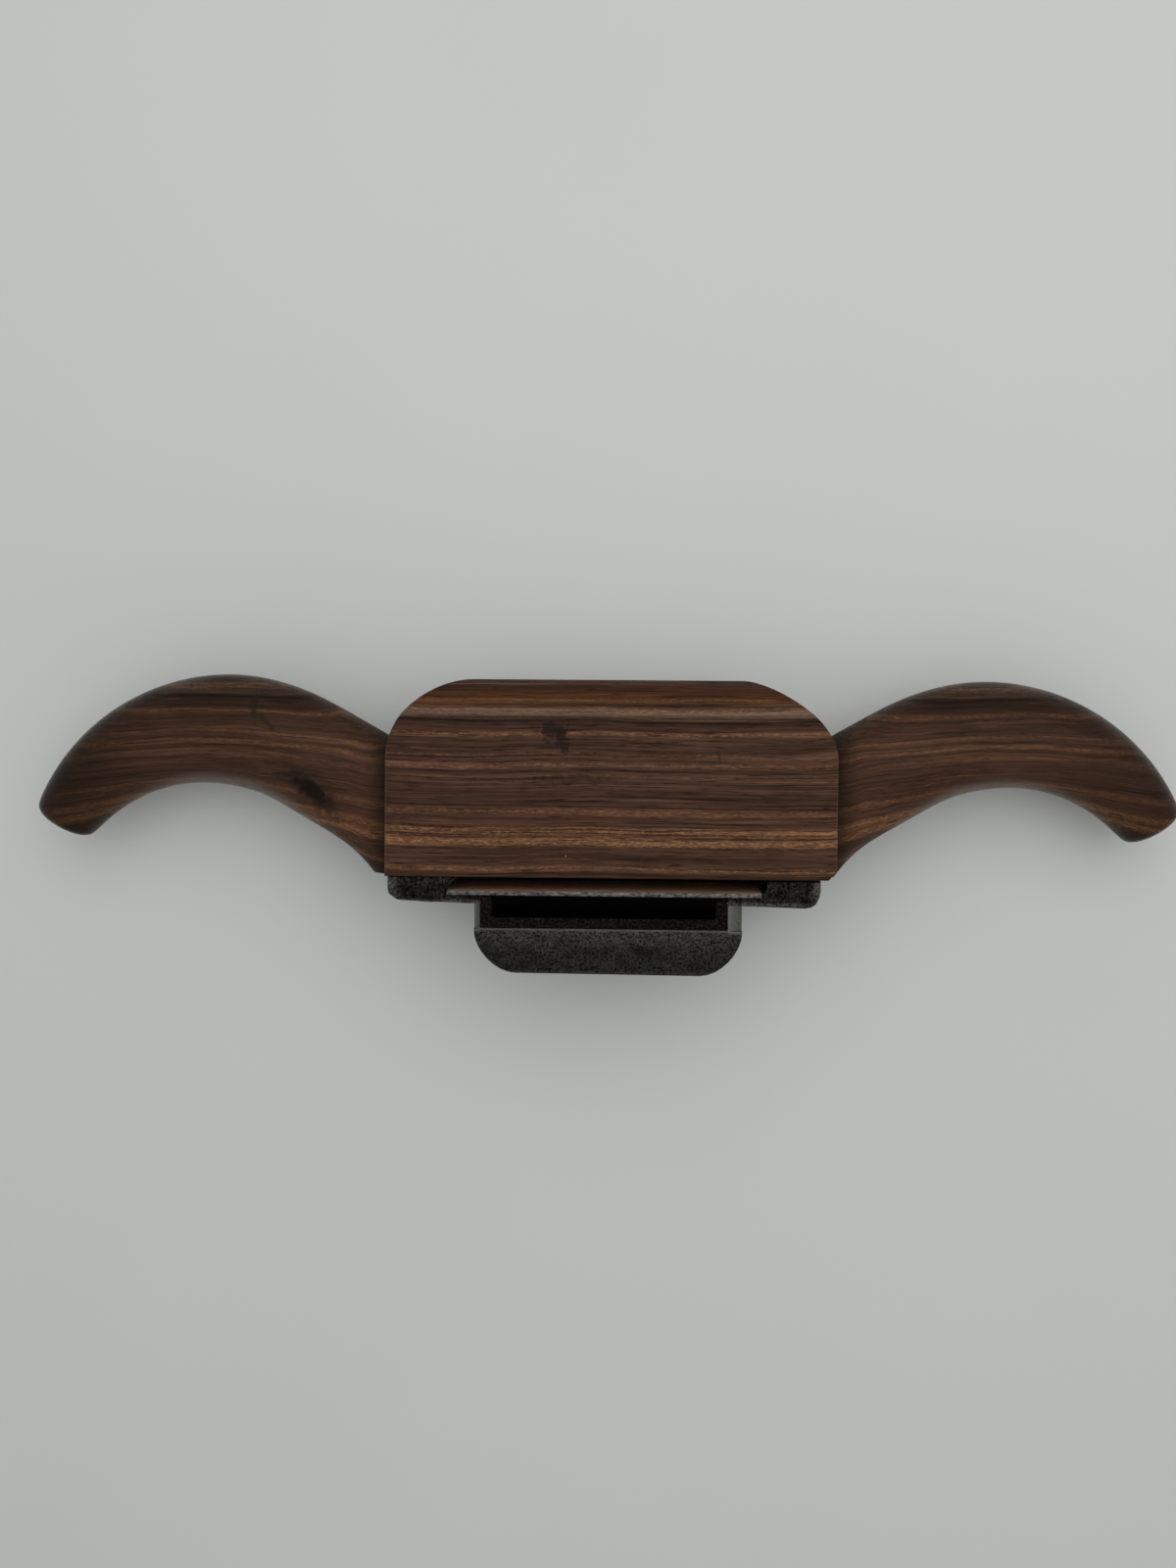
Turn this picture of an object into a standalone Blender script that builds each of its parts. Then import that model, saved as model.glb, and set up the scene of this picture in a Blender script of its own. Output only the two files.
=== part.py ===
"""Two-handled scraping shave of the drawknife family, as an assembly.

A hardwood stock carries two drooping handles and a wide flat sole. An iron mouth casting
is screwed to its front. It holds a wide, nearly upright blade, a window for the shavings
and a toe pad level with the sole. A cap with two thumbscrews clamps the blade, and two
knurled nuts on studs set its depth.

The tool lies on its back: +X runs along the handles, +Y towards the heel, and +Z out of
the sole. The origin is the middle of the wooden sole. Lengths are in metres.
"""
import math

import bmesh
import bpy
from mathutils import Matrix, Vector
from mathutils.geometry import interpolate_bezier

GAP = 0.0003  # clearance between neighbouring pieces
OVERCUT = 0.003  # how far a cutter runs past the body it opens
SMALL_CHAMFER = 0.0003  # broken edges of the small turned pieces
SAME_PLACE = 0.00001  # points closer than this are one point
SHARP = math.radians(35)  # edges sharper than this are drawn sharp
RIM_ANGLE = math.radians(60)  # edges sharper than this can be rounded

# Stock: block
SOLE_LENGTH = 0.059  # heel arris to front edge
SOLE_LEFT = 0.0807  # left end of the sole from the middle of the tool
SOLE_RIGHT = 0.0850  # right end, a little further out, as hand work left it
STOCK_HEIGHT = 0.050  # sole to the back on which the tool lies
HEEL_RUN = 0.0149  # heel's reach behind the arris
HEEL_DROP = 0.020  # depth below the sole where the heel reaches furthest
HEEL_ARC = math.radians(55)  # part of an ellipse between the arris and the heel's furthest line
BACK_ROUND = 0.014  # rounding between the heel and the back
LEFT_CORNER_LENGTH = 0.032  # rounded back corners, along X
RIGHT_CORNER_LENGTH = 0.034
CORNER_DEPTH = 0.0295  # the same along Y

CORNER_SIDE_PULL = 0.48  # how squarely a corner leaves the side, and reaches the heel
LEFT_CORNER_HEEL_PULL = 0.50
RIGHT_CORNER_HEEL_PULL = 0.26

# Stock: handles, unlike by a little as hand work left them
HANDLE_START = 0.063  # where a handle's middle line starts inside the block
LEFT_CREST_X = 0.1496  # highest point of the middle line, in plan
RIGHT_CREST_X = 0.1492
CREST_Y = 0.0247
LEFT_BEND_RADIUS = 0.0718
RIGHT_BEND_RADIUS = 0.0722
ROOT_SLOPE = math.radians(29.4)  # direction in which a handle leaves the block
LEFT_TIP_SLOPE = math.radians(-58.3)  # direction in which it ends
RIGHT_TIP_SLOPE = math.radians(-56.3)
ROOT_WIDTH = 0.0677  # flared root, mostly inside the block
LEFT_GRIP_WIDTH = 0.0434
RIGHT_GRIP_WIDTH = 0.0418
TIP_WIDTH = 0.0235
FLARE_END = 0.20  # share of the length where the root's flare ends
TAPER_START = 0.50  # share of the length where the taper to the tip starts
WIDTH_TAPER = 1.45  # exponent of that taper in plan
ROOT_THICKNESS = 0.035
GRIP_THICKNESS = 0.032
TIP_THICKNESS = 0.022
THICKNESS_TAPER = 2.2
ROOT_STEP = 0.002  # handle's upper side below the sole where it leaves the block
TIP_STEP = 0.0155  # the same at the tip
STEP_RISE = 1.6  # exponent of the droop between them
TIP_ROUND = 0.0061  # length of the rounded end
TIP_ROUND_ARC = math.radians(80)  # the round ends in a small flat
ROOT_SQUARENESS = 3.4  # exponent of the section's superellipse at the block
GRIP_SQUARENESS = 2.15
TIP_SQUARENESS = 2.0
HANDLE_SIDES = 20
HANDLE_RINGS = 26
TIP_RINGS = 4

# Rebate in the stock's back, for the adjuster
REBATE_LENGTH = 0.0175  # from the front face
REBATE_FLOOR = 0.033  # depth of its floor below the sole

# Mouth casting
BAR_HALF_LENGTH = 0.0790
BAR_FRONT = 0.0098  # front edge of the bar from the stock's front face
BAR_SETBACK = 0.0010  # bar's face below the sole
BAR_DEPTH = 0.0080
BAR_CORNER = 0.0055
BAR_EDGE_ROUND = 0.0016
BAR_OVERLAP = 0.0015  # how deep the casting's members run into each other
UPRIGHT_THICKNESS = 0.0050
MOUTH_CLEARANCE = 0.00085  # between the blade's ends and its opening
MOUTH_RELIEF = 0.0012  # widening of that opening beside the stock
BED_TOP = 0.025  # depth of the bed's upper edge
TANG_LENGTH = 0.0165  # from the stock's front face, over the rebate's floor
TANG_THICKNESS = 0.0040
WINDOW_HALF_WIDTH = 0.0414
WINDOW_LENGTH = 0.0080
WINDOW_CORNER = 0.0015
RIM_WIDTH = 0.0038  # rough rim around the window
RIM_SETBACK = 0.0008
PAD_LENGTH = 0.0160
PAD_LEFT = 0.0477
PAD_RIGHT = 0.0508
PAD_THICKNESS = 0.0060
PAD_CORNER = 0.0155
PAD_CORNER_PULL = 0.48  # how fully that corner is rounded
ARM_CHAMFER = 0.0030
PAD_EDGE_ROUND = 0.0008

# Blade
BLADE_WIDTH = 0.1155
BLADE_HEIGHT = 0.0478
BLADE_THICKNESS = 0.0015
BLADE_OFFSET = 0.0051  # blade's back face from the stock's front face, at the sole
BLADE_LEAN = math.radians(3.3)
EDGE_PROUD = 0.0003  # cutting edge above the sole
BLADE_CORNER = 0.004
SLOT_CLEARANCE = 0.0003

# Cap
CAP_MARGIN = 0.0015  # around the thumbscrews' heads
CAP_NOSE_HALF_WIDTH = 0.0500
CAP_TIP_DEPTH = 0.0140  # depth where the nose meets the blade
CAP_NOSE_REACH = 0.0150  # nose's reach in front of the blade
CAP_NOSE_DEPTH = 0.0360
CAP_TOP_DEPTH = 0.0290
CAP_BACK_DEPTH = 0.0400
CAP_FLANGE_THICKNESS = 0.0026
CAP_HOLLOW_START = (0.2, 0.6)  # how the nose's hollow leaves the blade, in shares of its reach and fall
CAP_HOLLOW_END = 0.6  # how level it ends

# Thumbscrews of the cap
CLAMP_DEPTH = 0.0345
CLAMP_SHANK_RADIUS = 0.0024
CLAMP_HEAD_RADIUS = 0.0065
CLAMP_HEAD_THICKNESS = 0.0032
CLAMP_SHANK_LENGTH = 0.0110
CLAMP_SLOT_WIDTH = 0.0010
CLAMP_SLOT_DEPTH = 0.0010
WASHER_RADIUS = 0.0052
WASHER_THICKNESS = 0.0008

# Depth adjuster
ADJUSTER_X = 0.027
ADJUSTER_OFFSET = 0.0050  # stud's axis behind the blade's back face
STUD_RADIUS = 0.0022
STUD_LENGTH = 0.0200
STUD_END_DEPTH = 0.0490
NUT_RADIUS = 0.0075
NUT_THICKNESS = 0.0026
NUT_HUB_RADIUS = 0.0038
NUT_HUB_THICKNESS = 0.0008
NUT_DEPTH = 0.0432
LOCKNUT_RADIUS = 0.0040
LOCKNUT_THICKNESS = 0.0020
SPOTFACE_DEPTH = 0.0006

# Wood screws
SCREW_HEAD_RADIUS = 0.0042
SCREW_SHANK_RADIUS = 0.0021
SCREW_LENGTH = 0.0200
SCREW_POINT = 0.0045
SCREW_TIP_RADIUS = 0.0004
SCREW_RIM = 0.0003  # straight rim of the countersunk head
SCREW_SLOT_WIDTH = 0.0010
SCREW_SLOT_DEPTH = 0.0010
FRONT_SCREW_DEPTH = 0.0165
TANG_SCREW_X = 0.047
TANG_SCREW_INSET = 0.0052  # from the tang's rear end

ROUND_SIDES = 24
SMALL_SIDES = 16
NUT_SIDES = 32
HEX_SIDES = 6
ARC_STEPS = 8
CORNER_STEPS = 4
CURVE_POINTS = 9

# Where things meet
MOUTH_HALF_WIDTH = BLADE_WIDTH / 2 + MOUTH_CLEARANCE
UPRIGHT_OUTER = BAR_HALF_LENGTH - BAR_EDGE_ROUND
UPRIGHT_X = (MOUTH_HALF_WIDTH + UPRIGHT_OUTER) / 2
CAP_HALF_LENGTH = UPRIGHT_X + CLAMP_HEAD_RADIUS + CAP_MARGIN
STOCK_FRONT = -SOLE_LENGTH / 2
HEEL_Y = SOLE_LENGTH / 2 + HEEL_RUN
CASTING_BACK = STOCK_FRONT - GAP
BLADE_BACK = STOCK_FRONT - BLADE_OFFSET
BLADE_FRONT = BLADE_BACK - BLADE_THICKNESS / math.cos(BLADE_LEAN)
WINDOW_BACK = BLADE_FRONT - GAP
WINDOW_FRONT = WINDOW_BACK - WINDOW_LENGTH
PAD_BACK = WINDOW_FRONT - RIM_WIDTH
PAD_FRONT = PAD_BACK - PAD_LENGTH
BAR_FACE = STOCK_FRONT - BAR_FRONT
UPRIGHT_FACE = CASTING_BACK - UPRIGHT_THICKNESS
TANG_FACE = REBATE_FLOOR + GAP + TANG_THICKNESS
BED_HALF_WIDTH = MOUTH_HALF_WIDTH + BAR_OVERLAP


def blade_y(face_y, depth):
    """Y of a line on the leaning blade, from its Y at the sole."""
    return face_y + math.tan(BLADE_LEAN) * depth


def new_collection(name):
    collection = bpy.data.collections.new(name)
    bpy.context.scene.collection.children.link(collection)
    return collection


def new_material(name, colour, roughness, metallic):
    material = bpy.data.materials.new(name)
    material.use_nodes = True
    shader = material.node_tree.nodes["Principled BSDF"]
    shader.inputs["Base Color"].default_value = (*colour, 1.0)
    shader.inputs["Roughness"].default_value = roughness
    shader.inputs["Metallic"].default_value = metallic
    return material


def place(obj, collection):
    for holder in list(obj.users_collection):
        holder.objects.unlink(obj)
    collection.objects.link(obj)
    return obj


def finish(obj, material):
    """Put a finished sub-part in the tool's collection, dressed and shaded."""
    place(obj, PARTS)
    obj.data.materials.clear()
    obj.data.materials.append(material)
    obj.data.shade_smooth()
    obj.data.set_sharp_from_angle(angle=SHARP)
    return obj


def outline_solid(name, loops, thickness, plane="XY"):
    """Flat outline with an even thickness, in the middle of the given plane."""
    curve = bpy.data.curves.new(name, "CURVE")
    curve.dimensions = "2D"
    curve.fill_mode = "BOTH"
    curve.extrude = thickness / 2
    for loop in loops:
        spline = curve.splines.new("POLY")
        spline.points.add(len(loop) - 1)
        for point, (a, b) in zip(spline.points, loop):
            point.co = (a, b, 0.0, 1.0)
        spline.use_cyclic_u = True
    flat = bpy.data.objects.new(name + "_outline", curve)
    bpy.context.scene.collection.objects.link(flat)
    bpy.context.view_layer.update()
    graph = bpy.context.evaluated_depsgraph_get()
    mesh = bpy.data.meshes.new_from_object(flat.evaluated_get(graph))
    bpy.data.objects.remove(flat)
    weld(mesh)
    if plane == "YZ":
        mesh.transform(Matrix(((0, 0, 1, 0), (1, 0, 0, 0), (0, 1, 0, 0), (0, 0, 0, 1))))
    if plane == "XZ":
        mesh.transform(Matrix.Rotation(math.radians(90), 4, "X"))
    mesh.name = name
    obj = bpy.data.objects.new(name, mesh)
    bpy.context.scene.collection.objects.link(obj)
    return obj


def weld(mesh):
    work = bmesh.new()
    work.from_mesh(mesh)
    bmesh.ops.remove_doubles(work, verts=work.verts, dist=SAME_PLACE)
    bmesh.ops.recalc_face_normals(work, faces=work.faces)
    work.to_mesh(mesh)
    work.free()


def plan_solid(name, loops, bottom, top):
    """Outline in plan between two heights."""
    obj = outline_solid(name, loops, top - bottom)
    obj.location.z = (top + bottom) / 2
    return obj


def side_solid(name, loop, left, right):
    """Side outline (Y, Z) between two places along X."""
    obj = outline_solid(name, [loop], right - left, "YZ")
    obj.location.x = (left + right) / 2
    return obj


def box_loop(low_a, low_b, high_a, high_b):
    return [(low_a, low_b), (high_a, low_b), (high_a, high_b), (low_a, high_b)]


def round_corner(centre, radius, start, steps):
    """Quarter arc, anticlockwise from the start angle in degrees."""
    points = []
    for step in range(steps + 1):
        angle = math.radians(start + 90 * step / steps)
        points.append((centre[0] + radius * math.cos(angle), centre[1] + radius * math.sin(angle)))
    return points


def rounded_box_loop(low_a, low_b, high_a, high_b, radius):
    loop = round_corner((high_a - radius, high_b - radius), radius, 0, CORNER_STEPS)
    loop += round_corner((low_a + radius, high_b - radius), radius, 90, CORNER_STEPS)
    loop += round_corner((low_a + radius, low_b + radius), radius, 180, CORNER_STEPS)
    loop += round_corner((high_a - radius, low_b + radius), radius, 270, CORNER_STEPS)
    return loop


def turned(name, profile, sides=ROUND_SIDES):
    """Turned piece about its local Z; the profile runs down its outer side."""
    mesh = bpy.data.meshes.new(name)
    edges = [(index, index + 1) for index in range(len(profile) - 1)]
    mesh.from_pydata([(radius, 0.0, height) for radius, height in profile], edges, [])
    obj = bpy.data.objects.new(name, mesh)
    bpy.context.scene.collection.objects.link(obj)
    screw = obj.modifiers.new("Turn", "SCREW")
    screw.steps = sides
    screw.render_steps = sides
    screw.use_merge_vertices = True
    screw.merge_threshold = SAME_PLACE
    bpy.context.view_layer.update()
    graph = bpy.context.evaluated_depsgraph_get()
    solid = bpy.data.meshes.new_from_object(obj.evaluated_get(graph))
    obj.modifiers.clear()
    weld(solid)
    solid.name = name
    obj.data = solid
    return obj


def rod(name, radius, length, sides):
    bpy.ops.mesh.primitive_cylinder_add(vertices=sides, radius=radius, depth=length)
    obj = bpy.context.active_object
    obj.name = name
    return obj


def combine(target, tool, operation):
    """Add a Boolean to a body; its second body becomes a hidden guide."""
    place(tool, CUTTERS)
    tool.hide_render = True
    tool.display_type = "WIRE"
    modifier = target.modifiers.new(operation.title() + "_" + tool.name, "BOOLEAN")
    modifier.operation = operation
    modifier.solver = "EXACT"
    modifier.object = tool


def soften(obj, width, segments, chosen):
    """Round the level outer edges whose middle passes the test, on a plan solid."""
    work = bmesh.new()
    work.from_mesh(obj.data)
    edges = []
    for edge in work.edges:
        near, far = edge.verts
        level = abs(near.co.z - far.co.z) < SAME_PLACE
        rim = edge.calc_face_angle(0.0) > RIM_ANGLE
        if level and rim and chosen((near.co + far.co) / 2):
            edges.append(edge)
    bmesh.ops.bevel(work, geom=edges, offset=width, segments=segments, profile=0.5,
                    affect="EDGES", clamp_overlap=True)
    work.to_mesh(obj.data)
    work.free()


# Stock

def corner_curve(side_x, sign, length, heel_pull):
    """Rounded back corner in plan, from the block's side to its heel."""
    side = Vector((side_x, HEEL_Y - CORNER_DEPTH))
    heel = Vector((side_x - sign * length, HEEL_Y))
    side_handle = side + Vector((0.0, CORNER_SIDE_PULL * CORNER_DEPTH))
    heel_handle = heel + Vector((sign * heel_pull * length, 0.0))
    return [tuple(p) for p in interpolate_bezier(side, side_handle, heel_handle, heel, CURVE_POINTS)]


def block_plan():
    """Block in plan; its front stands a little out and is trimmed later with the handles."""
    right = corner_curve(SOLE_RIGHT, 1, RIGHT_CORNER_LENGTH, RIGHT_CORNER_HEEL_PULL)
    left = corner_curve(-SOLE_LEFT, -1, LEFT_CORNER_LENGTH, LEFT_CORNER_HEEL_PULL)
    front = STOCK_FRONT - OVERCUT / 2
    return [(-SOLE_LEFT, front), (SOLE_RIGHT, front)] + right + left[::-1]


def block_side():
    """Section of the block: sole, rounded heel, back and rebate side."""
    start = HEEL_ARC
    reach = HEEL_RUN / (1 - math.cos(start))
    rise = HEEL_DROP / math.sin(start)
    loop = [(STOCK_FRONT - OVERCUT, 0.0)]
    for step in range(ARC_STEPS + 1):
        angle = start * (1 - step / ARC_STEPS)
        y = HEEL_Y - reach * (1 - math.cos(angle))
        loop.append((y, rise * math.sin(angle) - HEEL_DROP))
    for step in range(ARC_STEPS + 1):
        angle = math.radians(90) * step / ARC_STEPS
        y = HEEL_Y - BACK_ROUND * (1 - math.cos(angle))
        loop.append((y, -STOCK_HEIGHT + BACK_ROUND * (1 - math.sin(angle))))
    loop.append((STOCK_FRONT - OVERCUT, -STOCK_HEIGHT))
    return loop[::-1]


def handle_spine(share, crest_x, radius, tip_slope):
    """Point and direction of a handle's middle line: a straight root, then an arc."""
    centre = Vector((crest_x, CREST_Y - radius))
    arc_start = centre + radius * Vector((-math.sin(ROOT_SLOPE), math.cos(ROOT_SLOPE)))
    forward = Vector((math.cos(ROOT_SLOPE), math.sin(ROOT_SLOPE)))
    straight = (arc_start.x - HANDLE_START) / forward.x
    arc = radius * (ROOT_SLOPE - tip_slope)
    travel = share * (straight + arc)
    if travel < straight:
        return arc_start - forward * (straight - travel), ROOT_SLOPE
    slope = ROOT_SLOPE - (travel - straight) / radius
    return centre + radius * Vector((-math.sin(slope), math.cos(slope))), slope


def handle_width(share, grip):
    """Width in plan: a flared root, an even grip, then the taper to the tip."""
    if share < FLARE_END:
        return grip + (ROOT_WIDTH - grip) * (1 - share / FLARE_END) ** 2
    if share < TAPER_START:
        return grip
    return grip - (grip - TIP_WIDTH) * ((share - TAPER_START) / (1 - TAPER_START)) ** WIDTH_TAPER


def along_handle(share, root, grip, tip):
    """Other sizes of the section: eased to the grip, then tapering."""
    if share < TAPER_START:
        ease = share / TAPER_START
        return root + (grip - root) * ease * ease * (3 - 2 * ease)
    return grip - (grip - tip) * ((share - TAPER_START) / (1 - TAPER_START)) ** THICKNESS_TAPER


def handle_ring(work, spine, width, share, beyond, scale):
    """One section of a handle; beyond runs past the middle line's end, into the round tip."""
    point, slope = spine
    point = point + beyond * Vector((math.cos(slope), math.sin(slope)))
    across = Vector((-math.sin(slope), math.cos(slope), 0.0))
    thickness = along_handle(share, ROOT_THICKNESS, GRIP_THICKNESS, TIP_THICKNESS)
    squareness = along_handle(share, ROOT_SQUARENESS, GRIP_SQUARENESS, TIP_SQUARENESS)
    step = ROOT_STEP + (TIP_STEP - ROOT_STEP) * share ** STEP_RISE
    middle = Vector((point.x, point.y, -step - thickness / 2))
    ring = bmesh.ops.create_circle(work, segments=HANDLE_SIDES, radius=1.0)["verts"]
    for vert in ring:
        a, b = vert.co.x, vert.co.y
        a = math.copysign(abs(a) ** (2 / squareness), a)
        b = math.copysign(abs(b) ** (2 / squareness), b)
        vert.co = middle + scale * (a * width / 2 * across + Vector((0, 0, b * thickness / 2)))


def handle_solid(name, sign, crest_x, radius, tip_slope, grip):
    """Handle lofted through its sections, with a rounded tip; sign -1 mirrors it."""
    work = bmesh.new()
    for index in range(HANDLE_RINGS):
        share = index / (HANDLE_RINGS - 1)
        spine = handle_spine(share, crest_x, radius, tip_slope)
        handle_ring(work, spine, handle_width(share, grip), share, 0.0, 1.0)
    for index in range(1, TIP_RINGS + 1):
        angle = TIP_ROUND_ARC * index / TIP_RINGS
        spine = handle_spine(1.0, crest_x, radius, tip_slope)
        handle_ring(work, spine, TIP_WIDTH, 1.0, TIP_ROUND * math.sin(angle), math.cos(angle))
    rings = HANDLE_RINGS + TIP_RINGS
    work.verts.ensure_lookup_table()
    loops = [list(work.verts[i * HANDLE_SIDES:(i + 1) * HANDLE_SIDES]) for i in range(rings)]
    for near, far in zip(loops, loops[1:]):
        for index in range(HANDLE_SIDES):
            after = (index + 1) % HANDLE_SIDES
            work.faces.new((near[index], near[after], far[after], far[index]))
    work.faces.new(loops[0][::-1])
    work.faces.new(loops[-1])
    bmesh.ops.scale(work, vec=(sign, 1.0, 1.0), verts=work.verts)
    bmesh.ops.recalc_face_normals(work, faces=work.faces)
    mesh = bpy.data.meshes.new(name)
    work.to_mesh(mesh)
    work.free()
    obj = bpy.data.objects.new(name, mesh)
    bpy.context.scene.collection.objects.link(obj)
    return obj


def make_stock():
    stock = plan_solid("stock", [block_plan()], -STOCK_HEIGHT - OVERCUT, OVERCUT)
    reach = max(SOLE_LEFT, SOLE_RIGHT) + OVERCUT
    combine(stock, side_solid("block_side", block_side(), -reach, reach), "INTERSECT")
    combine(stock, handle_solid("left_handle", -1, LEFT_CREST_X, LEFT_BEND_RADIUS,
                                LEFT_TIP_SLOPE, LEFT_GRIP_WIDTH), "UNION")
    combine(stock, handle_solid("right_handle", 1, RIGHT_CREST_X, RIGHT_BEND_RADIUS,
                                RIGHT_TIP_SLOPE, RIGHT_GRIP_WIDTH), "UNION")
    front = box_loop(-LEFT_CREST_X, STOCK_FRONT - SOLE_LENGTH, RIGHT_CREST_X, STOCK_FRONT)
    combine(stock, plan_solid("front_trim", [front], -STOCK_HEIGHT - OVERCUT, OVERCUT), "DIFFERENCE")
    reach = BED_HALF_WIDTH + GAP
    rebate = box_loop(-reach, STOCK_FRONT - OVERCUT, reach, STOCK_FRONT + REBATE_LENGTH)
    cut = plan_solid("rebate", [rebate], -STOCK_HEIGHT - OVERCUT, -REBATE_FLOOR)
    combine(stock, cut, "DIFFERENCE")
    return stock


# Mouth casting

def pad_plan():
    """Toe pad and arms in plan, from the bar to the rounded front corners."""
    join = BAR_FACE + BAR_OVERLAP
    loop = [(PAD_RIGHT, join), (-PAD_LEFT, join)]
    for side, sign in ((PAD_LEFT, -1), (PAD_RIGHT, 1)):
        start = Vector((sign * side, PAD_FRONT + PAD_CORNER))
        end = Vector((sign * (side - PAD_CORNER), PAD_FRONT))
        pull = PAD_CORNER_PULL * PAD_CORNER
        leave, reach = start - Vector((0, pull)), end + Vector((sign * pull, 0))
        arc = interpolate_bezier(start, leave, reach, end, CURVE_POINTS)
        points = [tuple(p) for p in arc]
        loop += points if sign < 0 else points[::-1]
    return loop


def bar_plan():
    """Bar in plan: rounded at its front corners, square against the stock."""
    inner = BAR_HALF_LENGTH - BAR_CORNER
    left = round_corner((-inner, BAR_FACE + BAR_CORNER), BAR_CORNER, 180, CORNER_STEPS)
    right = round_corner((inner, BAR_FACE + BAR_CORNER), BAR_CORNER, 270, CORNER_STEPS)
    return left + right + [(BAR_HALF_LENGTH, CASTING_BACK), (-BAR_HALF_LENGTH, CASTING_BACK)]


def mouth_plan():
    """Opening for the blade: open towards the stock, with relieved corners."""
    wide = MOUTH_HALF_WIDTH + MOUTH_RELIEF
    back = CASTING_BACK + OVERCUT
    turn = BLADE_BACK + GAP
    return [(-wide, back), (-wide, turn + MOUTH_RELIEF), (-MOUTH_HALF_WIDTH, turn),
            (-MOUTH_HALF_WIDTH, WINDOW_BACK), (MOUTH_HALF_WIDTH, WINDOW_BACK),
            (MOUTH_HALF_WIDTH, turn), (wide, turn + MOUTH_RELIEF), (wide, back)]


def bed_side():
    """Section of the bed behind the blade, with its tang over the rebate's floor."""
    face = BLADE_BACK + GAP
    rear = STOCK_FRONT + TANG_LENGTH
    floor = -REBATE_FLOOR - GAP
    return [(CASTING_BACK, -BED_TOP), (blade_y(face, BED_TOP), -BED_TOP),
            (blade_y(face, TANG_FACE), -TANG_FACE), (rear, -TANG_FACE), (rear, floor),
            (CASTING_BACK, floor)]


def arm_chamfer(side):
    """Section (X, Z) of the cut that slopes an arm's outer edge."""
    inner = WINDOW_HALF_WIDTH + RIM_WIDTH + GAP
    outer = side + OVERCUT
    fall = ARM_CHAMFER * (outer - inner) / (side - inner)
    return [(inner, 0.0), (inner, OVERCUT), (outer, OVERCUT), (outer, -fall)]


def make_casting():
    bar_bottom = -BAR_SETBACK - BAR_DEPTH
    casting = plan_solid("mouth_casting", [bar_plan()], bar_bottom, -BAR_SETBACK)
    soften(casting, BAR_EDGE_ROUND, 3, lambda point: point.y < CASTING_BACK - SAME_PLACE)
    pad = plan_solid("toe_pad", [pad_plan()], -PAD_THICKNESS, 0.0)
    join = BAR_FACE + BAR_OVERLAP - SAME_PLACE
    soften(pad, PAD_EDGE_ROUND, 2, lambda point: point.y < join and point.z > 0)
    combine(casting, pad, "UNION")
    for name, sign in (("left_upright", -1), ("right_upright", 1)):
        ends = sorted((sign * MOUTH_HALF_WIDTH, sign * UPRIGHT_OUTER))
        foot = box_loop(ends[0], UPRIGHT_FACE, ends[1], CASTING_BACK)
        combine(casting, plan_solid(name, [foot], -STOCK_HEIGHT, bar_bottom + BAR_OVERLAP), "UNION")
    combine(casting, side_solid("bed", bed_side(), -BED_HALF_WIDTH, BED_HALF_WIDTH), "UNION")

    through = (bar_bottom - OVERCUT, OVERCUT)
    combine(casting, plan_solid("blade_opening", [mouth_plan()], *through), "DIFFERENCE")
    window = rounded_box_loop(-WINDOW_HALF_WIDTH, WINDOW_FRONT, WINDOW_HALF_WIDTH,
                              WINDOW_BACK + OVERCUT, WINDOW_CORNER)
    combine(casting, plan_solid("window", [window], *through), "DIFFERENCE")
    rim = box_loop(-WINDOW_HALF_WIDTH - RIM_WIDTH, PAD_BACK,
                   WINDOW_HALF_WIDTH + RIM_WIDTH, WINDOW_BACK + OVERCUT)
    combine(casting, plan_solid("rim", [rim], -RIM_SETBACK, OVERCUT), "DIFFERENCE")
    for name, side, sign in (("left_chamfer", PAD_LEFT, -1), ("right_chamfer", PAD_RIGHT, 1)):
        loop = [(sign * x, z) for x, z in arm_chamfer(side)]
        length = BAR_FACE + BAR_OVERLAP + OVERCUT - PAD_BACK + GAP
        slope = outline_solid(name, [loop], length, "XZ")
        slope.location.y = PAD_BACK - GAP + length / 2
        combine(casting, slope, "DIFFERENCE")
    return casting


# Turned pieces

def wood_screw_profile(grow=0.0):
    """Countersunk screw, head at the top; grown a little, it is the hole for one."""
    head = SCREW_HEAD_RADIUS + grow
    shank = SCREW_SHANK_RADIUS + grow
    top = OVERCUT if grow else 0.0
    rim = SCREW_RIM
    neck = -rim - SCREW_HEAD_RADIUS + SCREW_SHANK_RADIUS
    return [(0.0, top), (head, top), (head, -rim), (shank, neck),
            (shank, SCREW_POINT - SCREW_LENGTH), (SCREW_TIP_RADIUS + grow, -SCREW_LENGTH - grow),
            (0.0, -SCREW_LENGTH - grow)]


def clamp_screw_profile():
    radius, top, edge = CLAMP_HEAD_RADIUS, CLAMP_HEAD_THICKNESS, SMALL_CHAMFER
    shank, length = CLAMP_SHANK_RADIUS, CLAMP_SHANK_LENGTH
    return [(0.0, top), (radius - edge, top), (radius, top - edge), (radius, edge),
            (radius - edge, 0.0), (shank, 0.0), (shank, -length + edge), (shank - edge, -length),
            (0.0, -length)]


def nut_profile():
    bore = STUD_RADIUS + GAP
    half, hub, edge = NUT_THICKNESS / 2, NUT_THICKNESS / 2 + NUT_HUB_THICKNESS, SMALL_CHAMFER
    return [(bore, hub), (NUT_HUB_RADIUS, hub), (NUT_HUB_RADIUS, half), (NUT_RADIUS - edge, half),
            (NUT_RADIUS, half - edge), (NUT_RADIUS, edge - half), (NUT_RADIUS - edge, -half),
            (NUT_HUB_RADIUS, -half), (NUT_HUB_RADIUS, -hub), (bore, -hub), (bore, hub)]


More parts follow.
